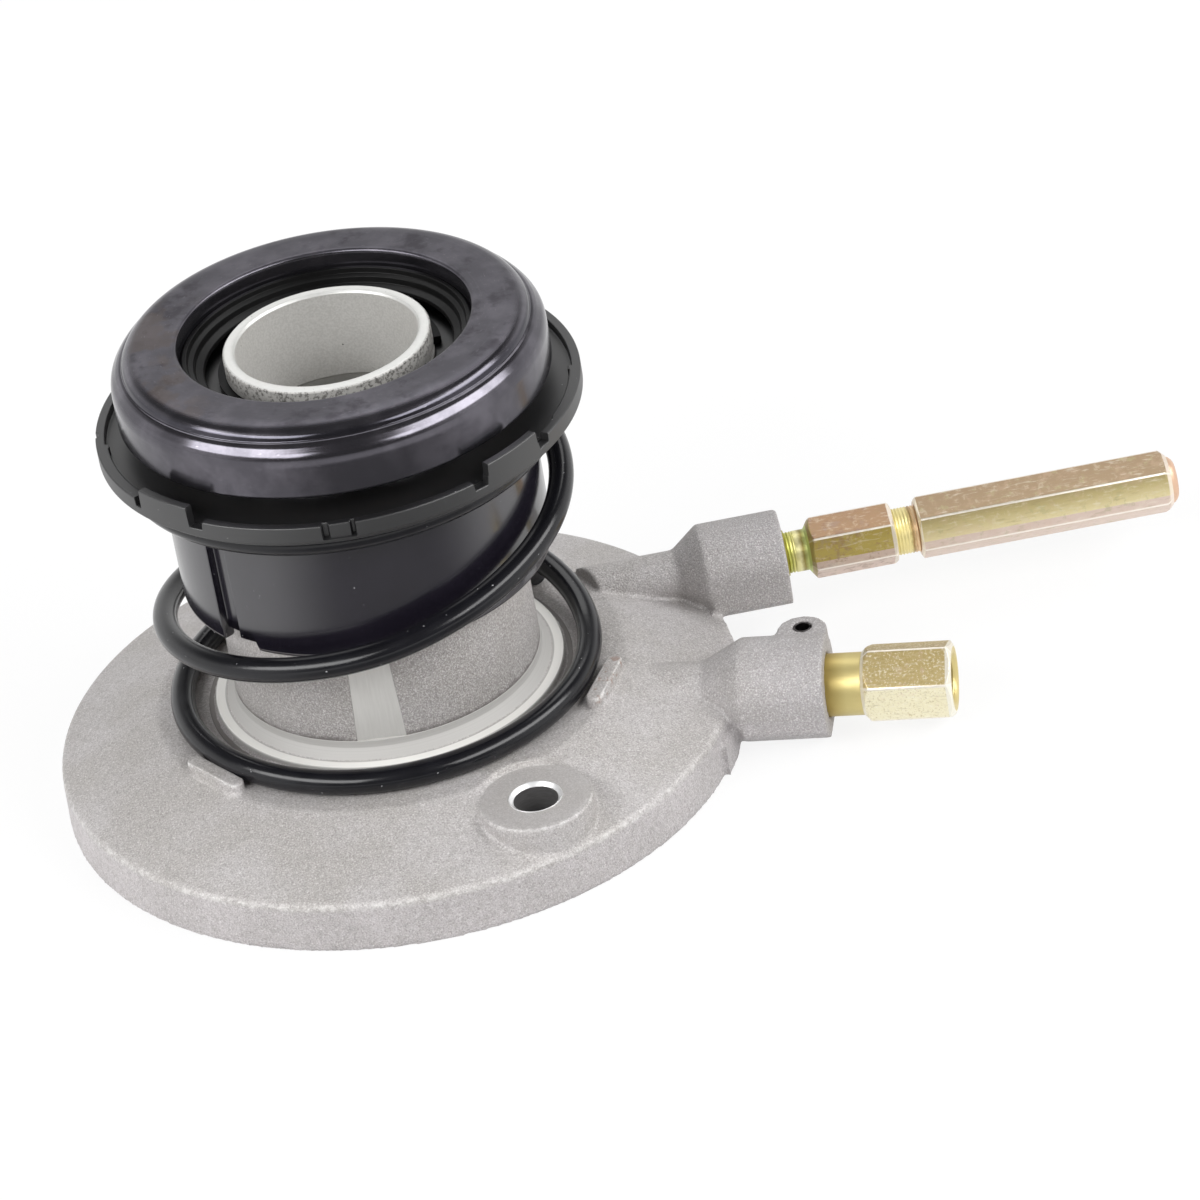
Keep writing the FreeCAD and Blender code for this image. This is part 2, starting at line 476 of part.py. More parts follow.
def seal_slot(body):
    points = [("sleeve_r - 0.5", "seal_slot_z"), ("seal_slot_r", "seal_slot_z"),
              ("seal_slot_r", "seal_slot_z + seal_slot_h"), ("sleeve_r - 0.5", "seal_slot_z + seal_slot_h")]
    turned(body, "SealSlot", outline(body, "SealSlotProfile", "XZ_Plane", points), cut=True)


def housing():
    body = make_body("housing")
    flange_and_column(body)
    column_flat(body)
    bolt_bosses(body)
    rim_pad(body, "RimPad", "pad")
    rim_pad(body, "HighRimPad", "high_pad")
    inlet_arm(body)
    bleed_arm(body)
    turn_seat(body)
    lugs(body)
    drillings(body)
    seal_slot(body)
    return body


# Pieces about the shaft axis

def ring_body(label, points, angle="360"):
    body = make_body(label)
    turned(body, "Turned", outline(body, "Profile", "XZ_Plane", points), angle=angle)
    return body


def guide_sleeve():
    outer = "sleeve_r - sleeve_fit"
    points = [("sleeve_low_bore_r", "0"), (outer, "0"), (outer, "stop_slot_z"),
              ("stop_slot_r", "stop_slot_z"),
              ("stop_slot_r", "stop_slot_z + stop_slot_h"), (outer, "stop_slot_z + stop_slot_h"),
              (outer, "sleeve_top_z - sleeve_edge"), (outer + " - sleeve_edge", "sleeve_top_z"),
              ("sleeve_bore_r + sleeve_edge", "sleeve_top_z"),
              ("sleeve_bore_r", "sleeve_top_z - sleeve_edge"),
              ("sleeve_bore_r", "sleeve_step_z"), ("sleeve_low_bore_r", "sleeve_step_z - 0.5")]
    return ring_body("guide_sleeve", points)


def box_ring(label, inner, outer, low, high, angle="360"):
    """Ring of rectangular section, with a gap where the angle is under a full turn."""
    return ring_body(label, [(inner, low), (outer, low), (outer, high), (inner, high)], angle)


def sleeve_sealing_ring():
    body = make_body("sleeve_sealing_ring")
    half = "(seal_slot_r - sleeve_r) / 2"
    sketch = circles(body, "Profile", "XZ_Plane",
                     [(("sleeve_r + " + half, "seal_slot_z + seal_slot_h / 2"), half + " - ring_play / 4")])
    turned(body, "Turned", sketch)
    return body


def sleeve_stop_ring():
    return box_ring("sleeve_stop_ring", "stop_slot_r + ring_play", "stop_ring_r", "stop_slot_z + ring_play",
                    "stop_slot_z + stop_slot_h - ring_play", "360 - stop_ring_gap_angle")


def wiper_seal():
    points = [("wiper_in_r", "wiper_z + ring_play"), ("wiper_r - 0.02", "wiper_z + ring_play"),
              ("wiper_r - 0.02", "wiper_z + wiper_h"), ("wiper_in_r + 0.9", "wiper_z + wiper_h"),
              ("wiper_in_r", "wiper_z + wiper_h + 0.4")]
    return ring_body("wiper_seal", points)


def bearing_carrier():
    low = "plate_z"
    points = [("hub_in_r", "piston_top_z"), ("skirt_in_r", "piston_top_z"), ("skirt_in_r", "skirt_foot_z"),
              ("skirt_r - skirt_edge", "skirt_foot_z"), ("skirt_r", "skirt_foot_z + skirt_edge"),
              ("skirt_r", low), ("step_r", low), ("step_r", "step_z"), ("wall_r", "step_z"),
              ("wall_r", "wall_z"), ("wall_in_r", "wall_z"), ("wall_in_r", "floor_z"),
              ("hub_out_r", "floor_z"), ("hub_out_r", "race_top_z + ring_play"),
              ("clip_slot_r", "race_top_z + ring_play"),
              ("clip_slot_r", "race_top_z + clip_h + 2 * ring_play"),
              ("hub_out_r", "race_top_z + clip_h + 2 * ring_play"), ("hub_out_r", "hub_top_z"),
              ("hub_in_r", "hub_top_z")]
    body = make_body("bearing_carrier")
    turned(body, "Turned", outline(body, "Profile", "XZ_Plane", points))
    # Raised teeth of the rim wall, from and to in degrees about Z, and the same on the other side
    teeth = ((-150.2, -131.8), (-57.8, -41.5), (29.8, 48.2), (122.2, 138.5))
    for number, (start, end) in enumerate(teeth, 1):
        raise_tooth(body, number, start, end)
    rim_gaps(body)
    skirt_slot(body)
    rim_window(body)
    return body


def raise_tooth(body, number, start, end):
    near, far = [], []
    for i in range(3):
        angle = "%g deg" % (start + (end - start) * i / 2)
        near.append(("wall_in_r * cos(%s)" % angle, "wall_in_r * sin(%s)" % angle))
        far.append(("wall_r * cos(%s)" % angle, "wall_r * sin(%s)" % angle))
    sketch = outline(body, "ToothOutline%d" % number, "XY_Plane", near + far[::-1],
                     ("0", "0", "wall_z - 0.5"))
    padded(body, "Tooth%d" % number, sketch, "wall_high + 0.5")


def rim_gaps(body):
    """Narrow slots right through the rim wall at the ends of the teeth, and a nick in its outline."""
    for number, angle in enumerate((-149.4, 30.6, -130.3, -60.2, -39.0, 49.7, 119.8, 141.0), 1):
        wide = "gap_w / 2" if number <= 2 else "rim_gap_w / 2"
        sketch = outline(body, "GapOutline%d" % number, "XY_Plane",
                         [("wall_in_r - 0.8", "-" + wide), ("wall_r + 1", "-" + wide), ("wall_r + 1", wide),
                          ("wall_in_r - 0.8", wide)], ("0", "0", "floor_z"), (OUT, "%g" % angle))
        padded(body, "Gap%d" % number, sketch, "wall_h + wall_high + 1", cut=True, reverse=True)
    nick = outline(body, "NickOutline", "XY_Plane",
                   [("wall_r - nick_d", "-nick_w / 4"), ("wall_r + 1", "-nick_w / 2"),
                    ("wall_r + 1", "nick_w / 2"),
                    ("wall_r - nick_d", "nick_w / 4")], ("0", "0", "step_z - 1"), (OUT, "nick_angle"))
    padded(body, "Nick", nick, "wall_z - step_z + 2", cut=True, reverse=True)


def skirt_slot(body):
    """Slot up the skirt, and the notch with one slanted side where it opens at the foot."""
    turn = (OUT, "slot_angle")
    slot = outline(body, "SlotOutline", "XY_Plane",
                   [("skirt_r - slot_depth", "-slot_w / 2"), ("skirt_r + 1", "-slot_w / 2"),
                    ("skirt_r + 1", "slot_w / 2"),
                    ("skirt_r - slot_depth", "slot_w / 2")], ("0", "0", "skirt_foot_z - 1"), turn)
    padded(body, "SkirtSlot", slot, "plate_z - skirt_foot_z + 1", cut=True, reverse=True)
    edge = "notch_w - slot_w / 2"
    notch = outline(body, "NotchOutline", "YZ_Plane",
                    [("-slot_w / 2", "skirt_foot_z - 1"), (edge + " + notch_slant", "skirt_foot_z - 1"),
                     (edge + " + notch_slant", "skirt_foot_z"), (edge, "notch_z - notch_slant"),
                     (edge + " - notch_slant / 2", "notch_z"), ("-slot_w / 2", "notch_z")],
                    ("(skirt_in_r - 2.5) * sin(slot_angle * 1 deg)", "0",
                     "(skirt_in_r - 2.5) * cos(slot_angle * 1 deg)"), (UP, "slot_angle"))
    padded(body, "SkirtNotch", notch, "skirt_t + 4", cut=True, reverse=True)


def rim_window(body):
    turn = (OUT, "window_angle")
    opening = outline(body, "WindowOutline", "XY_Plane",
                      [("wall_r - window_d", "-window_w / 2"), ("wall_r + 1", "-window_w / 2"),
                       ("wall_r + 1", "window_w / 2"), ("wall_r - window_d", "window_w / 2")],
                      ("0", "0", "window_z"), turn)
    padded(body, "Window", opening, "window_h + 1", cut=True, reverse=True)
    tab = outline(body, "TabOutline", "XY_Plane",
                  [("wall_in_r + 0.1", "-tab_w / 2"), ("wall_r - tab_set", "-tab_w / 2"),
                   ("wall_r - tab_set", "tab_w / 2"),
                   ("wall_in_r + 0.1", "tab_w / 2")], ("0", "0", "window_z + tab_set"), turn)
    padded(body, "Tab", tab, "window_h - tab_set")


def annular_piston():
    points = [("piston_in_r", "piston_foot_z"), ("piston_out_r", "piston_foot_z"),
              ("piston_out_r", "piston_top_z - 0.02"), ("piston_in_r", "piston_top_z - 0.02")]
    return ring_body("annular_piston", points)


def piston_seal():
    top = "piston_foot_z - 0.02"
    points = [("cup_in_r", "cup_foot_z"), ("cup_in_r + cup_lip", "cup_foot_z"),
              ("cup_in_r + cup_lip + 0.5", "cup_foot_z + cup_depth"),
              ("cup_out_r - cup_lip - 0.5", "cup_foot_z + cup_depth"),
              ("cup_out_r - cup_lip", "cup_foot_z"), ("cup_out_r", "cup_foot_z"), ("cup_out_r", top),
              ("cup_in_r", top)]
    return ring_body("piston_seal", points)


# Release bearing

def ball_track(body):
    sketch = circles(body, "TrackProfile", "XZ_Plane",
                     [(("ball_circle_r", "ball_z"), "ball_r + ball_play")])
    turned(body, "BallTrack", sketch, cut=True)


def bearing_inner_race():
    body = ring_body("bearing_inner_race",
                     [("race_in_r", "floor_z + 0.02"), ("race_out_r", "floor_z + 0.02"),
                      ("race_out_r", "race_top_z"),
                      ("race_in_r", "race_top_z")])
    ball_track(body)
    return body


def bearing_outer_race():
    points = [("face_hole_r", "face_z - 0.5"), ("face_hole_r + 0.5", "face_z"), ("face_flat_r", "face_z"),
              ("face_flat_r + 1.5", "face_z - 0.45"), ("shoulder_r - 0.35", "shoulder_z + 0.9"),
              ("shoulder_r", "shoulder_z"), ("shoulder_r + shoulder_step", "shoulder_z - 0.15"),
              ("shoulder_r + 1.55", "shoulder_z - 1.0"), ("outer_r - 0.25", "outer_top_z + 1.4"),
              ("outer_r", "outer_top_z"),
              ("outer_r", "outer_foot_z + 0.6"), ("outer_r - 0.6", "outer_foot_z"),
              ("lip_in_r", "outer_foot_z"), ("lip_in_r", "lip_z"), ("groove_edge_r", "lip_z + 0.8"),
              ("groove_edge_r", "ball_z"), ("ball_circle_r + 1", "ball_z"),
              ("ball_circle_r + 1", "ball_z + 3"),
              ("ball_circle_r - 1", "ball_z + 3"), ("ball_circle_r - 1", "ceiling_z"),
              ("face_hole_r", "ceiling_z")]
    body = ring_body("bearing_outer_race", points)
    ball_track(body)
    return body


def bearing_balls():
    count = int(size("ball_count"))
    reach, high, radius = size("ball_circle_r"), size("ball_z"), size("ball_r")
    turns = [2 * math.pi * i / count for i in range(count)]
    balls = doc.addObject("Part::Feature", "bearing_balls")
    balls.Label = "bearing_balls"
    spots = [FreeCAD.Vector(reach * math.cos(t), reach * math.sin(t), high) for t in turns]
    balls.Shape = Part.makeCompound([Part.makeSphere(radius, spot) for spot in spots])
    balls.Placement = FreeCAD.Placement()
    return balls


def ball_cage():
    body = box_ring("ball_cage", "cage_in_r", "cage_out_r", "cage_foot_z", "cage_top_z")
    sketch = circles(body, "PocketOutline", "YZ_Plane", [(("0", "ball_z"), "pocket_r")],
                     ("0", "0", "cage_in_r - 2"))
    pocket = padded(body, "Pocket", sketch, "4", cut=True, reverse=True)
    round_pattern(body, "Pockets", pocket, body.Origin.OriginFeatures[2], "ball_count", "")
    return body


def bearing_shield():
    return box_ring("bearing_shield", "shield_in_r", "lip_in_r - 0.02", "shield_z", "shield_z + shield_t")


def bearing_dust_ring():
    return box_ring("bearing_dust_ring", "dust_in_r", "face_hole_r - dust_fit", "dust_foot_z", "dust_top_z")


def bearing_clip():
    return box_ring("bearing_clip", "clip_slot_r + ring_play", "clip_r", "race_top_z + 1.5 * ring_play",
                    "race_top_z + clip_h + 0.5 * ring_play", "360 - clip_gap_angle")


# Preload spring

def preload_spring():
    """Round wire along a curve that lies flat for a turn at each end and rises between them."""
    flat = size("seat_z + wire_r + coil_play")
    rise = size("plate_z - wire_r - coil_play") - flat
    reach, wire = size("coil_r"), size("wire_r")
    # Angle about Z in degrees, and the share of the rise that the wire has reached there
    shares = [(-325, 0), (-270, 0), (-180, 0), (-90, 0), (-30, 0.003), (0, 0.012), (45, 0.085),
              (90, 0.171), (180, 0.327), (225, 0.399), (270, 0.475), (315, 0.595), (360, 0.712),
              (405, 0.817), (450, 0.913), (495, 0.98), (540, 1), (630, 1), (720, 1), (800, 1)]
    heights = [(angle, flat + rise * share) for angle, share in shares]
    points = []
    for (a0, z0), (a1, z1) in zip(heights, heights[1:]):
        steps = max(1, round((a1 - a0) / 15))
        for i in range(steps):
            points.append((a0 + (a1 - a0) * i / steps, z0 + (z1 - z0) * i / steps))
    points.append(heights[-1])
    smooth = []
    for i, (angle, high) in enumerate(points):
        low, up = max(0, i - 1), min(len(points) - 1, i + 1)
        smooth.append((angle, (points[low][1] + 2 * high + points[up][1]) / 4))
    curve = Part.BSplineCurve()
    curve.interpolate([FreeCAD.Vector(reach * math.cos(math.radians(a)),
                                      reach * math.sin(math.radians(a)), z) for a, z in smooth])
    start = curve.value(curve.FirstParameter)
    along = curve.tangent(curve.FirstParameter)[0]
    ring = Part.Wire([Part.Circle(start, along, wire).toShape()])
    spring = doc.addObject("Part::Feature", "preload_spring")
    spring.Label = "preload_spring"
    spring.Shape = Part.Wire([curve.toShape()]).makePipeShell([ring], True, True)
    spring.Placement = FreeCAD.Placement()
    return spring


# Pipe fittings, each built along X and then put on its arm

def hexagon(body, name, across, start, end, turn):
    corner = "%s / sqrt(3)" % across
    points = [("%s * cos(%d deg)" % (corner, a), "%s * sin(%d deg)" % (corner, a))
              for a in range(0, 360, 60)]
    sketch = outline(body, name + "Outline", "YZ_Plane", points, ("0", "0", start), (OUT, turn))
    padded(body, name, sketch, "%s - %s" % (end, start))


def bevel(body, name, across, at, sign, inner, angle="bevel_angle"):
    """Turned bevel on the corners at one end of a hexagon; sign is +1 at its far end."""
    outer = "%s / sqrt(3) + 0.5" % across
    back = "(%s) - (%s)" % (outer, inner)
    points = [(at, inner), ("%s + %d * 0.8" % (at, sign), inner), ("%s + %d * 0.8" % (at, sign), outer),
              ("%s - %d * (%s) * tan(%s * 1 deg)" % (at, sign, back, angle), outer)]
    turned(body, name, outline(body, name + "Profile", "XZ_Plane", points), "H_Axis", cut=True)


def put_on_arm(body, side, height, angle=None):
    if angle:
        body.Placement = FreeCAD.Placement(FreeCAD.Vector(),
                                           FreeCAD.Rotation(FreeCAD.Vector(0, 0, 1), size(angle)))
        bind(body, "Placement.Rotation.Angle", angle)
    bind(body, "Placement.Base.y", side)
    bind(body, "Placement.Base.z", height)


def inlet_adaptor():
    body = make_body("inlet_adaptor")
    shank = [("adaptor_start", "0"), ("adaptor_start", "adaptor_r - 0.6"),
             ("adaptor_start + 0.6", "adaptor_r"),
             ("ring_slot_start", "adaptor_r"), ("ring_slot_start", "ring_slot_r"),
             ("ring_slot_start + ring_slot_w", "ring_slot_r"),
             ("ring_slot_start + ring_slot_w", "adaptor_r"),
             ("pin_along - pin_slot_half", "adaptor_r"), ("pin_along - pin_slot_half", "pin_slot_r"),
             ("pin_along + pin_slot_half", "pin_slot_r"), ("pin_along + pin_slot_half", "adaptor_r"),
             ("adaptor_hex_start + 1", "adaptor_r"), ("adaptor_hex_start + 1", "0")]
    turned(body, "Shank", outline(body, "ShankProfile", "XZ_Plane", shank), "H_Axis")
    hexagon(body, "Hexagon", "adaptor_across", "adaptor_hex_start", "adaptor_end", "adaptor_turn")
    bevel(body, "NearBevel", "adaptor_across", "adaptor_hex_start", -1, "adaptor_r + 0.02", "tip_angle")
    bevel(body, "FarBevel", "adaptor_across", "adaptor_end", 1, "adaptor_face_r")
    bore = [("adaptor_start - 1", "0"), ("adaptor_start - 1", "adaptor_bore_r"),
            ("adaptor_end - port_depth - port_r * tan(30 deg)", "adaptor_bore_r"),
            ("adaptor_end - port_depth", "port_r"),
            ("adaptor_end - 0.6", "port_r"), ("adaptor_end + 0.4", "port_r + 1"),
            ("adaptor_end + 0.4", "0")]
    turned(body, "Bore", outline(body, "BoreProfile", "XZ_Plane", bore), "H_Axis", cut=True)
    put_on_arm(body, "0", "inlet_z", "inlet_angle")
    return body


def inlet_sealing_ring():
    body = make_body("inlet_sealing_ring")
    centre = ("ring_slot_start + ring_slot_w / 2", "inlet_socket_r - ring_wire_r - ring_play / 2")
    turned(body, "Turned", circles(body, "Profile", "XZ_Plane", [(centre, "ring_wire_r - ring_play / 4")]),
           "H_Axis")
    put_on_arm(body, "0", "inlet_z", "inlet_angle")
    return body


def inlet_roll_pin():
    body = make_body("inlet_roll_pin")
    outer = "pin_r - ring_play / 4"
    sketch = circles(body, "PinOutline", "XY_Plane", [(("pin_along", "pin_side"), outer),
                                                      (("pin_along", "pin_side"), "pin_bore_r")],
                     ("0", "0", "pin_foot_z"))
    padded(body, "Pin", sketch, "pin_top_z - pin_foot_z")
    slit = outline(body, "SlitOutline", "XY_Plane",
                   [("pin_along", "pin_side - pin_slit / 2"),
                    ("pin_along + pin_r + 1", "pin_side - pin_slit / 2"),
                    ("pin_along + pin_r + 1", "pin_side + pin_slit / 2"),
                    ("pin_along", "pin_side + pin_slit / 2")],
                   ("0", "0", "pin_foot_z - 1"))
    padded(body, "Slit", slit, "pin_top_z - pin_foot_z + 2", cut=True, reverse=True)
    put_on_arm(body, "0", "0", "inlet_angle")
    return body


def threaded(start, end, radius):
    """Outline points of a threaded stretch, a row of shallow V grooves."""
    count = int((size(end) - size(start) - 0.4) / size("thread_pitch"))
    points = []
    for i in range(count):
        base = "%s + 0.2 + %d * thread_pitch" % (start, i)
        points += [(base, radius), (base + " + 0.45 * thread_pitch", radius + " - thread_depth"),
                   (base + " + 0.9 * thread_pitch", radius)]
    return points


def bleed_adaptor():
    body = make_body("bleed_adaptor")
    collar = "bleed_boss_end + 0.05"
    stem = [("bleed_thread_start + 0.3", "0"), ("bleed_thread_start + 0.3", "bleed_thread_r - 0.5"),
            ("bleed_thread_start + 0.8", "bleed_thread_r - 0.02"),
            ("bleed_boss_end - 0.3", "bleed_thread_r - 0.02"),
            ("bleed_boss_end - 0.1", "neck_r"), (collar, "neck_r"), (collar, "collar_r"),
            (collar + " + collar_w", "collar_r"), (collar + " + collar_w", "neck_r")]
    stem += threaded(collar + " + collar_w", collar + " + collar_w + 3 * thread_pitch", "neck_r")
    stem += [("short_start + 1", "neck_r"), ("short_start + 1", "0")]
    turned(body, "Stem", outline(body, "StemProfile", "XZ_Plane", stem), "H_Axis")
    hexagon(body, "Hexagon", "short_across", "short_start", "short_end", "short_turn")
    bevel(body, "NearBevel", "short_across", "short_start", -1, "neck_r + 0.02")
    bevel(body, "FarBevel", "short_across", "short_end", 1, "short_face_r")
    spigot = [("short_end - 1", "0"), ("short_end - 1", "second_neck_r")]
    spigot += threaded("short_end", "long_start", "second_neck_r")
    spigot += [("long_start - 0.1", "second_neck_r"), ("long_start", "spigot_r"),
               ("spigot_end - 0.6", "spigot_r"),
               ("spigot_end", "spigot_r - 0.6"), ("spigot_end", "0")]
    turned(body, "Spigot", outline(body, "SpigotProfile", "XZ_Plane", spigot), "H_Axis")
    bore = [("bleed_thread_start - 1", "0"), ("bleed_thread_start - 1", "spigot_bore_r"),
            ("spigot_end + 1", "spigot_bore_r"),
            ("spigot_end + 1", "0")]
    turned(body, "Bore", outline(body, "BoreProfile", "XZ_Plane", bore), "H_Axis", cut=True)
    put_on_arm(body, "bleed_side", "bleed_z")
    return body


def bleed_extension():
    body = make_body("bleed_extension")
    hexagon(body, "Hexagon", "long_across", "long_start", "long_end", "long_turn")
    bevel(body, "NearBevel", "long_across", "long_start", -1, "long_face_r")
    bevel(body, "FarBevel", "long_across", "long_end", 1, "long_tip_r", "tip_angle")
    nose = [("long_end - 1", "0"), ("long_end - 1", "nose_r"), ("long_end", "nose_r"),
            ("long_end + nose_w / 3", "nose_r - 0.2"), ("nose_end - 0.25", "nose_tip_r"),
            ("nose_end", "nose_tip_r - 0.4"), ("nose_end", "0")]
    turned(body, "Nose", outline(body, "NoseProfile", "XZ_Plane", nose), "H_Axis")
    bore = [("long_start - 1", "0"), ("long_start - 1", "extension_bore_r"),
            ("extension_bore_end", "extension_bore_r"),
            ("extension_bore_end + 2", "vent_r"), ("nose_end + 1", "vent_r"), ("nose_end + 1", "0")]
    turned(body, "Bore", outline(body, "BoreProfile", "XZ_Plane", bore), "H_Axis", cut=True)
    put_on_arm(body, "bleed_side", "bleed_z")
    return body


PIECES = [housing, guide_sleeve, sleeve_sealing_ring, sleeve_stop_ring, wiper_seal, inlet_roll_pin,
          bleed_adaptor, preload_spring, bearing_carrier, annular_piston, piston_seal, bearing_inner_race,
          bearing_clip, bearing_outer_race, bearing_shield, bearing_dust_ring, bearing_balls, ball_cage,
          inlet_adaptor, inlet_sealing_ring, bleed_extension]
made = [piece() for piece in PIECES]
doc.recompute()

for item in doc.Objects:
    if "Invalid" in item.State or "Error" in item.State:
        raise RuntimeError("not computed: " + item.Label)
os.makedirs("parts", exist_ok=True)
for item in made:
    if item.Shape.isNull() or not item.Shape.isValid():
        raise RuntimeError("bad shape: " + item.Label)
    item.Shape.exportStep("parts/%s.step" % item.Label)
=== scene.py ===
import math

import bpy
import numpy as np
from mathutils import Matrix


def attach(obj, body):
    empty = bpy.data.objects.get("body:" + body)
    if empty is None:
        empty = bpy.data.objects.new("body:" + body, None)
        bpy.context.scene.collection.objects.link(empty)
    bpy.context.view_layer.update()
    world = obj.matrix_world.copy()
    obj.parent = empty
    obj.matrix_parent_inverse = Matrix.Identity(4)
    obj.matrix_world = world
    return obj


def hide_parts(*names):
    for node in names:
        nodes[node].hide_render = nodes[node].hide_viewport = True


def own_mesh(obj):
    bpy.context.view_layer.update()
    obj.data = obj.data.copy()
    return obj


# Concentric clutch slave cylinder: finishes, fine shapes, camera and studio.
# Lengths in the tables are millimetres; MM turns them into metres.
MM = 0.001
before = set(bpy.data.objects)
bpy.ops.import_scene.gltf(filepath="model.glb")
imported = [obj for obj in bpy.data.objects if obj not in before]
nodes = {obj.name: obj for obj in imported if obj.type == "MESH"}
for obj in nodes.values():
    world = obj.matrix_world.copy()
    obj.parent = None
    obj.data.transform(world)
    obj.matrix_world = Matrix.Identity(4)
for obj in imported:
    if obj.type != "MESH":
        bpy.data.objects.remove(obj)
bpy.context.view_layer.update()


# Surfaces

def unit(vectors):
    return vectors / np.maximum(np.linalg.norm(vectors, axis=-1, keepdims=True), 1e-12)


def put_mesh(name, points, quads, sharp):
    """Mesh of four-cornered faces; points in millimetres, turned outwards by the sign of its volume."""
    corner = points[quads]
    volume = np.einsum("ij,ij->i", corner[:, 0], np.cross(corner[:, 1], corner[:, 2])).sum()
    volume += np.einsum("ij,ij->i", corner[:, 0], np.cross(corner[:, 2], corner[:, 3])).sum()
    if volume < 0:
        quads = quads[:, ::-1]
    mesh = bpy.data.meshes.new(name)
    mesh.vertices.add(len(points))
    mesh.vertices.foreach_set("co", (points * MM).astype(np.float32).ravel())
    mesh.loops.add(quads.size)
    mesh.loops.foreach_set("vertex_index", quads.astype(np.int32).ravel())
    mesh.polygons.add(len(quads))
    mesh.polygons.foreach_set("loop_start", np.arange(0, quads.size, 4, dtype=np.int32))
    mesh.update(calc_edges=True)
    smooth(mesh, sharp)
    item = bpy.data.objects.new(name, mesh)
    bpy.context.scene.collection.objects.link(item)
    return item


def smooth(mesh, sharp):
    mesh.polygons.foreach_set("use_smooth", np.ones(len(mesh.polygons), bool))
    mesh.set_sharp_from_angle(angle=math.radians(sharp))


def sheet_of(name, points, sharp=38.0, ring=True):
    """Surface from a grid of points (rows, columns, 3): columns join up, and rows join up too or, without
    ring, are closed at each end by a row at the mean of the last."""
    if not ring:
        ends = [np.repeat(points[i].mean(0)[None, None], points.shape[1], 1) for i in (0, -1)]
        points = np.concatenate([ends[0], points, ends[1]])
    rows, columns = points.shape[:2]
    i, j = np.meshgrid(np.arange(rows if ring else rows - 1), np.arange(columns), indexing="ij")
    i2, j2 = (i + 1) % rows, (j + 1) % columns
    quads = np.stack([i * columns + j, i2 * columns + j, i2 * columns + j2, i * columns + j2], -1)
    return put_mesh(name, points.reshape(-1, 3), quads.reshape(-1, 4), sharp)


def rounded(outline, radius, steps=5):
    """Closed outline with each corner drawn as a curve (1-s)^2 a + 2s(1-s) corner + s^2 b between the points
    a and b that lie radius/tan(half angle), at most 0.45 of the shorter side, from the corner, and with a
    close point beside each curve that keeps the straight sides flat. A point's third number is its radius."""
    p = np.array([point[:2] for point in outline], float)
    sizes = np.array([point[2] if len(point) > 2 else radius for point in outline], float)
    before, after = np.roll(p, 1, 0) - p, np.roll(p, -1, 0) - p
    room = np.minimum(np.linalg.norm(before, axis=1), np.linalg.norm(after, axis=1)) * 0.45
    before, after = unit(before), unit(after)
    half = np.arccos(np.clip((before * after).sum(1), -1, 1)) / 2
    reach = np.minimum(sizes / np.maximum(np.tan(half), 1e-6), room)[:, None]
    s = np.linspace(0, 1, steps)[None, :, None]
    a, b = (p + before * reach)[:, None], (p + after * reach)[:, None]
    curve = (1 - s) ** 2 * a + 2 * s * (1 - s) * p[:, None] + s ** 2 * b
    close = np.minimum(0.06, room * 0.08)[:, None, None]
    curve = np.concatenate([a + before[:, None] * close, curve, b + after[:, None] * close], 1)
    return curve.reshape(-1, 2)


def lathe(name, outline, radius=0.2, count=256, steps=5, sharp=38.0):
    """Surface turned about Z: (r cos t, r sin t, z) for each point (r, z) of the closed outline."""
    line = rounded(outline, radius, steps)
    turn = np.linspace(0, 2 * math.pi, count, endpoint=False)[:, None]
    points = np.stack([line[None, :, 0] * np.cos(turn), line[None, :, 0] * np.sin(turn),
                       np.broadcast_to(line[None, :, 1], (count, len(line)))], -1)
    return sheet_of(name, points, sharp)


def step_up(x, edge, width):
    """Smooth rise from 0 to 1 across an edge: 3t^2 - 2t^3."""
    t = np.clip((x - edge) / width + 0.5, 0, 1)
    return t * t * (3 - 2 * t)


def between(x, low, high, width):
    """1 from low to high and 0 outside, smooth over width at both edges."""
    return step_up(x, low, width) * (1 - step_up(x, high, width))


def with_rows(line, heights, low_r, high_r):
    """Outline with points added where its sides between two radii cross the given heights."""
    after = np.roll(line, -1, 0)
    kept = []
    for (r0, z0), (r1, z1) in zip(line, after):
        kept.append((r0, z0))
        if low_r <= min(r0, r1) and max(r0, r1) <= high_r and abs(z1 - z0) > 0.3:
            inside = [h for h in heights if min(z0, z1) + 0.02 < h < max(z0, z1) - 0.02]
            for h in sorted(inside, reverse=bool(z1 < z0)):
                kept.append((r0 + (r1 - r0) * (h - z0) / (z1 - z0), h))
    return np.array(kept)


# Shader maths

class Wire:
    """A shader value; each operator on it adds one Math node."""

    def __init__(self, finish, socket):
        self.finish, self.socket = finish, socket

    def made(self, operation, *values):
        return self.finish.wire("ShaderNodeMath", {"operation": operation}, dict(enumerate(values)))

    def __add__(self, other): return self.made("ADD", self, other)
    def __radd__(self, other): return self.made("ADD", other, self)
    def __sub__(self, other): return self.made("SUBTRACT", self, other)
    def __rsub__(self, other): return self.made("SUBTRACT", other, self)
    def __mul__(self, other): return self.made("MULTIPLY", self, other)
    def __rmul__(self, other): return self.made("MULTIPLY", other, self)
    def __abs__(self): return self.made("ABSOLUTE", self)

    def rise(self, low, high):
        """0 below low, 1 above high, smooth between; turned round where low is above high."""
        return self.finish.wire("ShaderNodeMapRange", {"interpolation_type": "SMOOTHSTEP", "clamp": True},
                                {0: self, 1: low, 2: high, 3: 0.0, 4: 1.0})

    def band(self, low, high, edge):
        """1 from low to high and 0 outside, smooth over twice the edge."""
        return self.rise(low - edge, low + edge) * self.rise(high + edge, high - edge)

    def max(self, other): return self.made("MAXIMUM", self, other)
    def min(self, other): return self.made("MINIMUM", self, other)
    def fract(self): return self.made("FRACT", self)


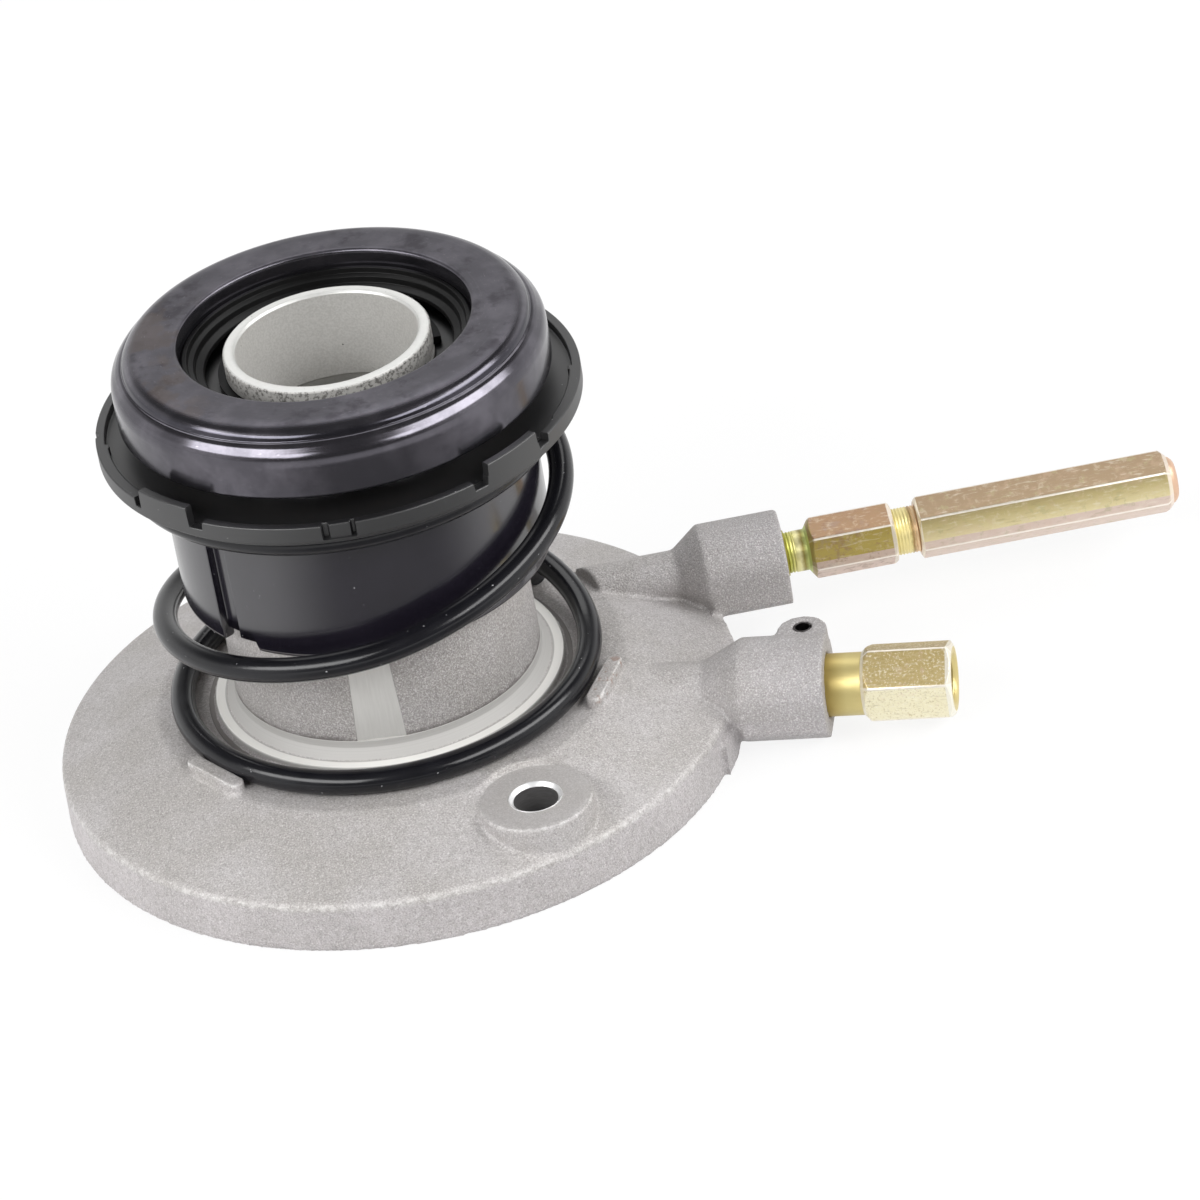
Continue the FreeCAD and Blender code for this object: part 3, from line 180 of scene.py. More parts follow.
class Finish:
    """One material: nodes on Object coordinates that end in one Principled shader."""

    def __init__(self, name):
        self.material = bpy.data.materials.new(name)
        self.material.use_nodes = True
        self.tree = self.material.node_tree
        self.tree.nodes.clear()
        self.place = self.wire("ShaderNodeTexCoord", {}, {}, "Object")
        parts = self.node("ShaderNodeSeparateXYZ", {}, {0: self.place})
        self.x, self.y, self.z = (Wire(self, parts.outputs[i]) for i in range(3))
        flat = self.wire("ShaderNodeVectorMath", {"operation": "MULTIPLY"}, {0: self.place, 1: (1, 1, 0)})
        self.r = self.wire("ShaderNodeVectorMath", {"operation": "LENGTH"}, {0: flat}, "Value")

    def node(self, kind, settings, inputs):
        made = self.tree.nodes.new(kind)
        for key, value in settings.items():
            if key == "stops":
                ramp = made.color_ramp
                while len(ramp.elements) < len(value):
                    ramp.elements.new(0.5)
                for element, (position, colour) in zip(ramp.elements, value):
                    element.position, element.color = position, (*colour, 1)
            else:
                setattr(made, key, value)
        for key, value in inputs.items():
            if isinstance(value, Wire):
                self.tree.links.new(value.socket, made.inputs[key])
            else:
                made.inputs[key].default_value = value
        return made

    def wire(self, kind, settings, inputs, output=0):
        return Wire(self, self.node(kind, settings, inputs).outputs[output])

    def noise(self, size, detail=2.0, place=None, stretch=None, rough=0.5):
        """Cloudy pattern with lumps of about the given size in millimetres, from 0 to 1."""
        where = self.place if place is None else place
        if stretch:
            where = self.wire("ShaderNodeVectorMath", {"operation": "MULTIPLY"}, {0: where, 1: stretch})
        return self.wire("ShaderNodeTexNoise", {}, {
            "Vector": where, "Scale": 1 / (size * MM), "Detail": detail, "Roughness": rough})

    def around(self, along):
        """Coordinates (radius, height, along x angle) for lines that run round the axis."""
        angle = self.wire("ShaderNodeMath", {"operation": "ARCTAN2"}, {0: self.y, 1: self.x})
        return self.wire("ShaderNodeCombineXYZ", {}, {0: self.r, 1: self.z, 2: angle * along})

    def mix(self, share, first, second):
        made = self.node("ShaderNodeMix", {"data_type": "RGBA"}, {})
        for index, value in ((0, share), (6, first), (7, second)):
            if isinstance(value, Wire):
                self.tree.links.new(value.socket, made.inputs[index])
            elif index:
                made.inputs[index].default_value = (*value, 1)
            else:
                made.inputs[index].default_value = value
        return Wire(self, made.outputs[2])

    def bump(self, height, depth):
        """Normal of a surface raised by height (0 to 1) times depth in millimetres."""
        return self.wire("ShaderNodeBump", {}, {"Strength": 1.0, "Distance": depth * MM, "Height": height})

    def done(self, **sockets):
        shader = self.node("ShaderNodeBsdfPrincipled", {}, {
            key.replace("_", " "): (*value, 1) if isinstance(value, tuple) and len(value) == 3 else value
            for key, value in sockets.items()})
        out = self.node("ShaderNodeOutputMaterial", {}, {})
        self.tree.links.new(shader.outputs[0], out.inputs[0])
        return self.material


def dress(item, finish):
    item.data.materials.clear()
    item.data.materials.append(finish)


def fit(item, body, slot, *stood_for):
    """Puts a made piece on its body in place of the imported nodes."""
    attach(item, body)
    if stood_for:
        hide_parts(*stood_for)


# Places on the part: angles in degrees, axes of the two fittings as (offset across the arm, height)
BOLT_REACH, BOLT_TURNS = 52.6, (-65.9, 114.1)
STRIP_TURN = -97.4
BLEED_AXIS = (19.2, 15.0)
INLET_AXIS, INLET_TURN = (0.0, 9.5), -14.4
SHORT_HEX, LONG_HEX, INLET_HEX = 14.5, 15.5, 36.5


# Finishes

def cast_metal(name="cast_metal", lug=False):
    """Blasted die-cast grey: fine bright grain, cloudy tone, edges partly rubbed and partly a painted
    highlight, bare boss faces, and a milled strip and a dark foot on the rough column. Lugs get that rubbed,
    painted-highlight edge along their tops too."""
    f = Finish(name)
    grain = f.noise(0.31, 2, rough=0.65)
    broad = f.noise(1.3, 3, rough=0.6)
    cloud = f.noise(15, 3)
    column = f.r.band(27.0 * MM, 29.6 * MM, 0.1 * MM) * f.z.rise(20.5 * MM, 21.5 * MM)
    tone = f.mix(cloud.rise(0.35, 0.68), (0.46, 0.438, 0.422), (0.525, 0.503, 0.50))
    # Painted reflection: the rim's outer side wall is painted lighter, standing in for the bright
    # surroundings it reflects.
    side = f.r.rise(63.2 * MM, 63.7 * MM) * f.z.rise(8.9 * MM, 8.0 * MM)
    tone = f.mix(side, tone, f.mix(cloud.rise(0.35, 0.68), (0.50, 0.475, 0.475), (0.56, 0.53, 0.535)))
    # Painted shade: the cast is painted darker, purple-grey, towards the arms, beyond x = 42 mm.
    tone = f.mix(f.x.rise(42 * MM, 78 * MM) * 0.55, tone, (0.33, 0.315, 0.325))
    tone = f.mix(column * 0.4, tone, (0.34, 0.325, 0.31))
    tone = f.mix(broad.rise(0.56, 0.36) * 0.35, tone, (0.36, 0.34, 0.33))
    tone = f.mix(grain.rise(0.50, 0.72) * 0.6, tone, (0.80, 0.78, 0.775))
    tone = f.mix(grain.rise(0.50, 0.28) * 0.58, tone, (0.24, 0.22, 0.215))
    speck = f.noise(0.6, 1).rise(0.74, 0.80)
    tone = f.mix(speck * 0.5, tone, (0.92, 0.91, 0.89))
    # Edges of the rim, the front of the bolt boss and the lug tops: partly rubbed wear, partly a painted
    # highlight where they catch the light; the boss edge is lit only on its side towards the front.
    worn = f.noise(1.6, 3, rough=0.7).rise(0.42, 0.66)
    edge = f.r.band(62.1 * MM, 64.1 * MM, 0.25 * MM) * f.z.band(8.5 * MM, 9.5 * MM, 0.35 * MM)
    turn = math.radians(BOLT_TURNS[0])
    across = f.x - BOLT_REACH * MM * math.cos(turn)
    up_to = f.y - BOLT_REACH * MM * math.sin(turn)
    far = f.wire("ShaderNodeMath", {"operation": "SQRT"}, {0: across * across + up_to * up_to})
    boss = far.band(9.6 * MM, 10.5 * MM, 0.2 * MM) * f.z.band(15.2 * MM, 16.0 * MM, 0.2 * MM)
    edge = (edge * 0.55).max(boss * up_to.rise(0.001, -0.003) * 0.6)
    if lug:
        edge = edge.max(f.z.band(18.4 * MM, 19.0 * MM, 0.2 * MM) * f.r.rise(43.0 * MM, 44.2 * MM))
    more = 0.25 if lug else 0.0
    tone = f.mix(edge * (worn + more) * 0.75, tone, (0.88, 0.87, 0.85))
    # Bare machined faces of the bosses
    flat = far.rise(10.2 * MM, 9.9 * MM) * f.z.rise(15.6 * MM, 15.75 * MM)
    tone = f.mix(flat * 0.5, tone, f.mix(f.noise(0.8, 3), (0.46, 0.44, 0.43), (0.56, 0.54, 0.53)))
    tone = f.mix(column * grain.rise(0.56, 0.40) * 0.25, tone, (0.22, 0.205, 0.20))
    foot = column * (f.z + f.noise(2.2, 3) * (1.8 * MM)).rise(23.6 * MM, 22.5 * MM)
    tone = f.mix(foot * 0.75, tone, (0.16, 0.145, 0.14))
    # Brown stains by the inlet arm
    stain = f.x.band(36.0 * MM, 43.0 * MM, 1.0 * MM) * f.y.band(-26.5 * MM, -11.0 * MM, 2.0 * MM)
    stain = stain * f.z.rise(17.6 * MM, 18.2 * MM) * f.noise(1.8, 3).rise(0.52, 0.60)
    tone = f.mix(stain * 0.55, tone, (0.30, 0.18, 0.13))
    # Milled strip, narrower towards its top
    turn = math.radians(STRIP_TURN)
    over = f.x * -math.sin(turn) + f.y * math.cos(turn)
    ahead = f.x * math.cos(turn) + f.y * math.sin(turn)
    wide = (f.z - 20.0 * MM) * (-1.4 / 32) + 4.6 * MM
    strip = (wide - abs(over)).rise(-0.05 * MM, 0.05 * MM) * ahead.band(28.0 * MM, 29.0 * MM, 0.05 * MM)
    strip = strip * f.z.rise(19.6 * MM, 19.8 * MM)
    milled = f.noise(0.35, 2, stretch=(1, 1, 0.08))
    tone = f.mix(strip, tone, f.mix(milled, (0.60, 0.59, 0.565), (0.70, 0.69, 0.665)))
    clean = strip.max(flat * 0.7)
    rough = 0.60 - 0.16 * speck - 0.15 * clean
    height = grain * (1 - clean * 0.9) + column * broad * 0.8 * (1 - strip)
    return f.done(Base_Color=tone, Metallic=0.35, Roughness=rough, Normal=f.bump(height, 0.17))


def turned_metal():
    """Machined foot of the column: fine rings, near white and matt on its flat, grey in the corner, painted
    shade on the seat under the spring.
    """
    f = Finish("turned_metal")
    lines = f.noise(0.16, 2, place=f.around(0.00002))
    bright = f.r.band(31.0 * MM, 32.7 * MM, 0.08 * MM) * f.z.rise(18.2 * MM, 18.35 * MM)
    tone = f.mix(lines, (0.40, 0.39, 0.375), (0.50, 0.49, 0.475))
    tone = f.mix(bright, tone, f.mix(lines, (0.74, 0.73, 0.70), (0.80, 0.79, 0.76)))
    # Painted shade: the step and seat beyond 33 mm, under the spring, are painted dark.
    tone = f.mix(f.r.rise(32.9 * MM, 33.2 * MM), tone, (0.24, 0.225, 0.215))
    return f.done(Base_Color=tone, Metallic=0.1, Roughness=0.55 + lines * 0.1, Normal=f.bump(lines, 0.01))


def drilled_metal():
    """Drilled hole with rings left by the drill, its wall painted dark as shade, and a bright chamfer."""
    f = Finish("drilled_metal")
    rings = f.noise(0.25, 3, stretch=(0.15, 0.15, 1))
    # Painted shade: the bright drilled wall is painted dark, as the inside of the hole lies in shade.
    wall = f.mix(rings, (0.13, 0.125, 0.125), (0.24, 0.235, 0.235))
    tone = f.mix(f.z.rise(15.2 * MM, 15.35 * MM), wall, (0.86, 0.86, 0.86))
    return f.done(Base_Color=tone, Metallic=0.6, Roughness=0.32 + rings * 0.12, Normal=f.bump(rings, 0.02))


def blued_steel():
    """Blue-black oxide on the release bearing, rubbed in smudges, rings and scratches on its flat face, with
    painted shade as a dark line in the groove.
    """
    f = Finish("blued_steel")
    ring = f.noise(0.35, 3, place=f.around(0.0004))
    smudge = f.noise(9, 4, rough=0.6)
    face = f.z.rise(92.2 * MM, 92.85 * MM)
    tone = f.mix(smudge.rise(0.4, 0.7), (0.092, 0.088, 0.102), (0.140, 0.133, 0.153))
    tone = f.mix(face * ring.rise(0.55, 0.85) * 0.3, tone, (0.17, 0.165, 0.185))
    tone = f.mix(face * f.noise(6, 4, rough=0.6).rise(0.50, 0.66) * 0.7, tone, (0.045, 0.040, 0.050))
    brown = f.x.rise(-18 * MM, -30 * MM) * f.noise(5, 3).rise(0.45, 0.60)
    tone = f.mix(face * brown * 0.4, tone, (0.12, 0.09, 0.07))
    # Painted shade: a dark line painted in the groove below the top fillet.
    line = f.r.band(36.6 * MM, 37.3 * MM, 0.15 * MM) * f.z.band(90.5 * MM, 91.6 * MM, 0.2 * MM)
    tone = f.mix(line * 0.6, tone, (0.03, 0.03, 0.04))
    scratch = f.noise(0.22, 1, place=f.around(0.006)).rise(0.70, 0.78)
    tone = f.mix(scratch * 0.35, tone, (0.30, 0.29, 0.32))
    rough = 0.15 + face * 0.18 + smudge * 0.06 + face * ring * 0.06
    return f.done(Base_Color=tone, Metallic=0.92, Roughness=rough,
                  Normal=f.bump(ring * 0.5 + f.noise(0.8, 2) * 0.5, 0.004))


def black_plastic():
    """Moulded glass-filled plastic: smooth skirt, duller rim wall, light scuffs and dust."""
    f = Finish("black_plastic")
    scuff = f.noise(0.5, 3, stretch=(1, 1, 0.4)).rise(0.70, 0.80)
    cloud = f.noise(7, 3)
    upper = f.z.rise(72.6 * MM, 73.2 * MM)
    tone = f.mix(cloud, (0.007, 0.006, 0.010), (0.014, 0.012, 0.019))
    tone = f.mix(upper, tone, f.mix(cloud, (0.003, 0.003, 0.0035), (0.006, 0.006, 0.007)))
    tone = f.mix(scuff * 0.25, tone, (0.06, 0.06, 0.07))
    tone = f.mix(f.noise(0.5, 0).rise(0.885, 0.90) * 0.8, tone, (0.5, 0.5, 0.52))
    rough = 0.14 + upper * 0.26 + cloud * 0.05 + scuff * 0.15
    return f.done(Base_Color=tone, Roughness=rough, IOR=1.9,
                  Normal=f.bump(f.noise(0.6, 3) * 0.3 + cloud * 0.7, 0.010))


def black_coat():
    """Gloss black coat on the spring wire, with grey bloom and pin-head specks."""
    f = Finish("black_coat")
    cloud = f.noise(5, 3)
    tone = f.mix(cloud, (0.004, 0.004, 0.005), (0.010, 0.010, 0.013))
    tone = f.mix(f.noise(0.5, 0).rise(0.86, 0.88) * 0.8, tone, (0.5, 0.5, 0.52))
    return f.done(Base_Color=tone, Roughness=0.14 + cloud * 0.12, Specular_IOR_Level=0.4,
                  Normal=f.bump(f.noise(1.5, 2), 0.012))


def sleeve_metal():
    """Satin tube: fine even grain in the bore, painted shade darkening it below about 72.6 mm, bright end,
    dark pits near the top of the outer wall.
    """
    f = Finish("sleeve_metal")
    grain = f.noise(0.4, 3)
    tone = f.mix(grain.rise(0.3, 0.7), (0.58, 0.57, 0.545), (0.68, 0.67, 0.645))
    # Painted shade: the tube is painted darker low down, below about 72.6 mm, deep in the bore.
    low = f.z.rise(72.8 * MM, 72.4 * MM)
    tone = f.mix(low * 0.7, tone, (0.30, 0.29, 0.27))
    end = f.z.rise(89.3 * MM, 89.6 * MM)
    tone = f.mix(end, tone, f.mix(f.noise(0.8, 3), (0.58, 0.58, 0.56), (0.66, 0.66, 0.64)))
    wall = f.r.rise(18.7 * MM, 18.9 * MM)
    tone = f.mix(wall, tone, (0.46, 0.45, 0.43))
    pits = f.noise(0.7, 3, rough=0.7).rise(0.48, 0.60) * wall * f.z.rise(85.5 * MM, 88.0 * MM)
    tone = f.mix(pits * 0.75, tone, (0.06, 0.055, 0.05))
    tone = f.mix(f.noise(0.7, 0).rise(0.86, 0.88) * 0.8, tone, (0.05, 0.045, 0.04))
    inner = f.r.rise(17.6 * MM, 17.4 * MM)
    return f.done(Base_Color=tone, Metallic=inner * 0.3 + 0.1, Roughness=0.42 - inner * 0.08 + grain * 0.1,
                  Normal=f.bump(grain, 0.02))


def zinc_plate(name, axis, arm, turn, faces, neck, ends, mark):
    """Yellow passivated zinc: the flats of the bar drift from straw to pink and olive, listed in faces as
    (angle, colour) round the bar's axis, partly the plating's tint and partly painted reflection that makes
    each flat lighter or darker by what it faces, with rubbed edges; neck gives the reach below which bands
    run along the span of a thinner part; ends are stretches of the turned bevels painted light as highlights
    and dark as shade; marks are scratches and mottle."""
    f = Finish(name)
    by = math.radians(arm)
    along = f.x * math.cos(by) + f.y * math.sin(by)
    side = f.y * math.cos(by) - f.x * math.sin(by) - axis[0] * MM
    high = f.z - axis[1] * MM
    angle = f.wire("ShaderNodeMath", {"operation": "ARCTAN2"}, {0: high, 1: side})
    reach = f.wire("ShaderNodeMath", {"operation": "SQRT"}, {0: side * side + high * high})
    place = f.wire("ShaderNodeCombineXYZ", {}, {0: along, 1: side, 2: high})
    drawn = f.noise(0.5, 3, place=place, stretch=(0.2, 1, 1))
    cloud = f.noise(4.5, 3, place=place, rough=0.6)
    small = f.noise(1.3, 4, rough=0.65)
    # Painted reflection: each flat's colour by its angle round the axis is partly the plating's tint and
    # partly painted reflection, lighter or darker by what that flat faces.
    share = (angle + math.pi + (cloud - 0.5) * 0.05) * (0.5 / math.pi)
    stops = [((math.radians(a) + math.pi) / (2 * math.pi), colour) for a, colour in faces]
    tone = f.wire("ShaderNodeValToRGB", {"stops": stops}, {0: share})
    for size, low, rise, strength, colour in mark:
        tone = f.mix(f.noise(size, 4, place=place, rough=0.7).rise(low, rise) * strength, tone, colour)
    tone = f.mix(drawn.rise(0.54, 0.76) * 0.35, tone, (0.90, 0.85, 0.72))
    tone = f.mix(drawn.rise(0.44, 0.24) * 0.35, tone, (0.36, 0.29, 0.15))
    corner = abs(((angle + math.radians(360 - turn)) * (3 / math.pi)).fract() - 0.5)
    tone = f.mix(corner.rise(0.455, 0.48) * (0.5 + small * 0.6).min(1.0), tone, (0.93, 0.88, 0.80))
    # Painted light on the hexagons' turned bevels: the light stretches are painted highlights and the dark
    # stretches are painted shade.
    for first, last, colour in ends:
        tone = f.mix(along.band(first * MM, last * MM, 0.06 * MM) * 0.75, tone, colour)
    bar, span, rings = neck
    share = (along - span[0] * MM) * (1 / ((span[1] - span[0]) * MM))
    bands = f.wire("ShaderNodeValToRGB", {"stops": rings}, {0: share + (small - 0.5) * 0.03})
    tone = f.mix(reach.rise((bar + 0.03) * MM, (bar - 0.03) * MM), tone, bands)
    rough = 0.30 + small * 0.16 + drawn * 0.08
    return f.done(Base_Color=tone, Metallic=0.6, Roughness=rough,
                  Normal=f.bump(drawn * 0.4 + f.noise(0.35, 3) * 0.6, 0.035))


def plain_finish(name, first, second, rough, metal=0.0, depth=0.01, shine=0.5):
    """Even finish, cloudy between two near colours."""
    f = Finish(name)
    cloud = f.noise(1.2, 3)
    return f.done(Base_Color=f.mix(cloud, first, second), Metallic=metal, Roughness=rough + cloud * 0.1,
                  Specular_IOR_Level=shine, Normal=f.bump(f.noise(0.4, 3), depth))


CAST = cast_metal()
TURNED = turned_metal()
HOLE = drilled_metal()
BLUED = blued_steel()
PLASTIC = black_plastic()
COAT = black_coat()
SLEEVE = sleeve_metal()
LUG = cast_metal("lug_metal", lug=True)
ZINC_SHORT = zinc_plate(
    "zinc_plate_short", BLEED_AXIS, 0, SHORT_HEX,
    faces=[(-165, (0.62, 0.49, 0.42)), (-107, (0.70, 0.54, 0.46)), (-104, (0.40, 0.34, 0.10)),
           (74, (0.38, 0.24, 0.13)), (76, (0.38, 0.24, 0.14)), (132, (0.41, 0.26, 0.15)),
           (136, (0.42, 0.32, 0.08)), (160, (0.48, 0.38, 0.11))],
    neck=(4.62, (77.3, 103.2), [
        (0.0, (0.40, 0.36, 0.06)), (0.025, (0.40, 0.36, 0.06)), (0.03, (0.50, 0.52, 0.10)),
        (0.07, (0.72, 0.68, 0.25)), (0.11, (0.84, 0.78, 0.42)), (0.14, (0.30, 0.24, 0.06)),
        (0.17, (0.52, 0.58, 0.20)), (0.84, (0.80, 0.70, 0.32)), (0.93, (0.86, 0.74, 0.36)),
        (0.95, (0.40, 0.26, 0.10)), (0.975, (0.84, 0.62, 0.38)), (1.0, (0.80, 0.60, 0.36))]),
    ends=[(81.7, 82.9, (0.34, 0.27, 0.08)), (97.9, 98.7, (0.86, 0.80, 0.70))],
    mark=[(2.2, 0.50, 0.62, 0.55, (0.33, 0.20, 0.13)), (1.4, 0.54, 0.66, 0.28, (0.74, 0.64, 0.50)),
          (3.0, 0.54, 0.66, 0.35, (0.36, 0.28, 0.26))])
ZINC_LONG = zinc_plate(
    "zinc_plate_long", BLEED_AXIS, 0, LONG_HEX,
    faces=[(-165, (0.72, 0.58, 0.50)), (-107, (0.76, 0.62, 0.54)), (-104, (0.62, 0.54, 0.30)),
           (74, (0.35, 0.25, 0.155)), (76, (0.35, 0.25, 0.155)), (132, (0.38, 0.275, 0.17)),
           (136, (0.40, 0.32, 0.15)), (150, (0.53, 0.44, 0.21)), (178, (0.76, 0.66, 0.38)),
           (180, (0.78, 0.69, 0.41))],
    neck=(4.72, (151.0, 153.3), [(0.0, (0.74, 0.52, 0.36)), (1.0, (0.70, 0.46, 0.32))]),
    ends=[(103.2, 103.7, (0.88, 0.80, 0.66)), (151.2, 152.1, (0.88, 0.78, 0.68))],
    mark=[(2.4, 0.50, 0.64, 0.2, (0.66, 0.48, 0.36)), (1.6, 0.54, 0.66, 0.22, (0.80, 0.72, 0.58)),
          (2.0, 0.56, 0.68, 0.4, (0.44, 0.42, 0.22))])
ZINC_INLET = zinc_plate(
    "zinc_plate_inlet", INLET_AXIS, INLET_TURN, INLET_HEX,
    faces=[(-165, (0.90, 0.84, 0.60)), (-84, (0.94, 0.90, 0.74)), (-80, (0.66, 0.54, 0.25)),
           (94, (0.36, 0.27, 0.11)), (98, (0.52, 0.40, 0.17)), (154, (0.60, 0.47, 0.22)),
           (158, (0.92, 0.86, 0.62)), (179, (0.92, 0.86, 0.62))],
    neck=(5.95, (80.0, 89.0), [
        (0.0, (0.36, 0.28, 0.08)), (0.25, (0.46, 0.34, 0.10)), (0.6, (0.62, 0.52, 0.22)),
        (1.0, (0.66, 0.55, 0.24))]),
    ends=[(88.1, 88.8, (0.90, 0.86, 0.74)), (104.0, 105.1, (0.92, 0.90, 0.82))],
    mark=[(0.4, 0.52, 0.66, 0.5, (0.42, 0.31, 0.10)), (0.45, 0.52, 0.64, 0.65, (0.97, 0.92, 0.74)),
          (2.4, 0.56, 0.68, 0.4, (0.70, 0.52, 0.42))])
RUBBER = plain_finish("seal_rubber", (0.0025, 0.0025, 0.0025), (0.005, 0.005, 0.005), 0.28, shine=0.2)
PIN_STEEL = plain_finish("pin_steel", (0.05, 0.045, 0.045), (0.12, 0.11, 0.11), 0.3, 1.0)
PISTON = plain_finish("piston_metal", (0.50, 0.50, 0.51), (0.58, 0.58, 0.59), 0.35, 0.9)
RACE = plain_finish("race_steel", (0.40, 0.40, 0.41), (0.52, 0.52, 0.53), 0.22, 1.0)
BALL = plain_finish("ball_steel", (0.60, 0.60, 0.61), (0.70, 0.70, 0.71), 0.08, 1.0, depth=0.001)
CAGE = plain_finish("cage_plastic", (0.16, 0.10, 0.05), (0.22, 0.14, 0.07), 0.4)
for node, finish in (("sleeve_sealing_ring", RUBBER), ("sleeve_stop_ring", RUBBER), ("wiper_seal", RUBBER),
                     ("annular_piston", PISTON), ("piston_seal", RUBBER), ("bearing_inner_race", RACE),
                     ("bearing_clip", BLUED), ("bearing_shield", BLUED), ("bearing_balls", BALL),
                     ("ball_cage", CAGE), ("inlet_sealing_ring", RUBBER)):
    dress(nodes[node], finish)


# Pieces

def cast_body():
    """The cast body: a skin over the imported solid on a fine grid, then pulled to the mean of its neighbours
    a few times outside the bore, which rounds its edges and fills its corners, and thinned to fewer faces."""
    source = nodes["housing"].copy()
    source.data = source.data.copy()
    bpy.context.scene.collection.objects.link(source)
    weld = source.modifiers.new("Weld", "WELD")
    weld.merge_threshold = 2e-6
    grid = source.modifiers.new("Grid", "REMESH")
    grid.mode, grid.voxel_size, grid.adaptivity = "VOXEL", 0.42 * MM, 0.0
    mesh = bpy.data.meshes.new_from_object(source.evaluated_get(bpy.context.evaluated_depsgraph_get()))
    bpy.data.objects.remove(source)
    count = len(mesh.vertices)
    points = np.zeros(count * 3, np.float32)
    mesh.vertices.foreach_get("co", points)
    points = points.reshape(-1, 3).astype(float)
    pairs = np.zeros(len(mesh.edges) * 2, np.int32)
    mesh.edges.foreach_get("vertices", pairs)
    pairs = pairs.reshape(-1, 2)
    reach = np.hypot(points[:, 0], points[:, 1]) / MM
    soft = np.where(reach < 27.5, 0.0, 1.0)[:, None]
    share = np.maximum(np.bincount(pairs.ravel(), minlength=count), 1)[:, None]
    for push in (0.6, -0.4, 0.6, -0.4, 0.6, -0.4, 0.6, -0.3):
        total = np.zeros((count, 3))
        for axis in range(3):
            total[:, axis] = (np.bincount(pairs[:, 0], points[pairs[:, 1], axis], count)
                              + np.bincount(pairs[:, 1], points[pairs[:, 0], axis], count))
        points += soft * push * (total / share - points)
    points[:, 2] = np.maximum(points[:, 2], 0)
    mesh.vertices.foreach_set("co", points.astype(np.float32).ravel())
    item = bpy.data.objects.new("cast_body", mesh)
    bpy.context.scene.collection.objects.link(item)
    thin = item.modifiers.new("Thin", "DECIMATE")
    thin.ratio = min(1.0, 185000 / (2 * len(mesh.polygons)))
    shown = bpy.data.meshes.new_from_object(item.evaluated_get(bpy.context.evaluated_depsgraph_get()))
    item.modifiers.clear()
    item.data = shown
    shown.name = "cast_body"
    bpy.data.meshes.remove(mesh)
    smooth(shown, 60)
    dress(item, CAST)
    fit(item, "housing", "cast_metal", "housing")


# Middle angle and half length of each lug
LUGS = ((-25.0, 7.5), (96.0, 6.6), (215.0, 7.3))


def cast_lugs():
    """Three rounded bars: across is (1.1 + 0.45 cos v) cos u, along is +-L + (1.1 + 0.45 cos v) sin u and
    height is 15.45 +- 3.15 + 0.45 sin v, bent round the axis; L is the half length less 1.55."""
    v, u = np.meshgrid(np.linspace(-90, 90, 24), np.arange(0, 360, 6) + 3, indexing="ij")
    v, u = np.radians(v), np.radians(u)
    wide = 1.1 + 0.45 * np.cos(v)
    middle = 42.75
    for number, (turn, half) in enumerate(LUGS, 1):
        reach = middle + wide * np.cos(u)
        t = math.radians(turn) + (np.sign(np.sin(u)) * (half - 1.55) + wide * np.sin(u)) / middle
        high = 15.45 + np.sign(np.sin(v)) * 3.15 + 0.45 * np.sin(v)
        points = np.stack([reach * np.cos(t), reach * np.sin(t), high], -1)
        item = sheet_of("cast_lug_%d" % number, points, 50, False)
        dress(item, LUG)
        fit(item, "housing", "cast_metal")


def bolt_sleeves():
    """Drilled holes of the two bosses: a thin skin turned about each bolt axis."""
    for number, turn in enumerate(BOLT_TURNS, 1):
        item = lathe("bolt_hole_%d" % number, [
            (4.1, 1.0, 0.05), (4.4, 1.0, 0.05), (4.4, 15.1, 0.1), (4.95, 15.7, 0.1), (4.95, 15.97, 0.1),
            (4.78, 15.97, 0.15), (4.1, 15.3, 0.15)], count=120)
        t = math.radians(turn)
        place = (BOLT_REACH * MM * math.cos(t), BOLT_REACH * MM * math.sin(t), 0)
        item.data.transform(Matrix.Translation(place))
        dress(item, HOLE)
        fit(item, "housing", "cast_metal")


def turned_foot():
    """Machined ring and corner at the foot of the column, a thin turned skin over the casting."""
    item = lathe("turned_foot", [
        (28.3, 16.6, 0.05), (28.3, 21.6, 0.05), (28.9, 21.6, 0.1), (29.05, 20.3, 0.7), (30.55, 18.52, 0.25),
        (30.72, 18.46, 0.1), (32.82, 18.46, 0.3), (32.86, 17.02, 0.3), (34.3, 16.98, 0.2),
        (34.3, 16.6, 0.05)], count=420)
    dress(item, TURNED)
    fit(item, "housing", "cast_metal")


def guide_tube():
    """Fixed sleeve, turned about Z: a snap ring groove below its rounded end and a step in its bore."""
    item = lathe("guide_tube", [
        (17.2, 0, 0.3), (18.98, 0, 0.3), (18.98, 84.4, 0.1), (18.35, 84.4, 0.1), (18.35, 85.9, 0.1),
        (18.98, 85.9, 0.1), (18.98, 89.5, 0.25), (18.6, 89.88, 0.2), (17.1, 89.9, 0.25), (16.7, 89.45, 0.25),
        (16.7, 72.6, 0.1), (17.2, 72.1, 0.1)], count=320)
    dress(item, SLEEVE)
    fit(item, "housing", "bright_steel", "guide_sleeve")


# Rise of the spring's centre line as a share of its whole height, by angle in degrees
SPRING_RISE = [(-325, 0), (-90, 0), (-30, 0.003), (0, 0.012), (45, 0.095), (90, 0.195), (180, 0.365),
               (225, 0.44), (270, 0.519), (315, 0.636), (360, 0.735), (405, 0.825), (450, 0.913),
               (495, 0.98), (540, 1), (800, 1)]


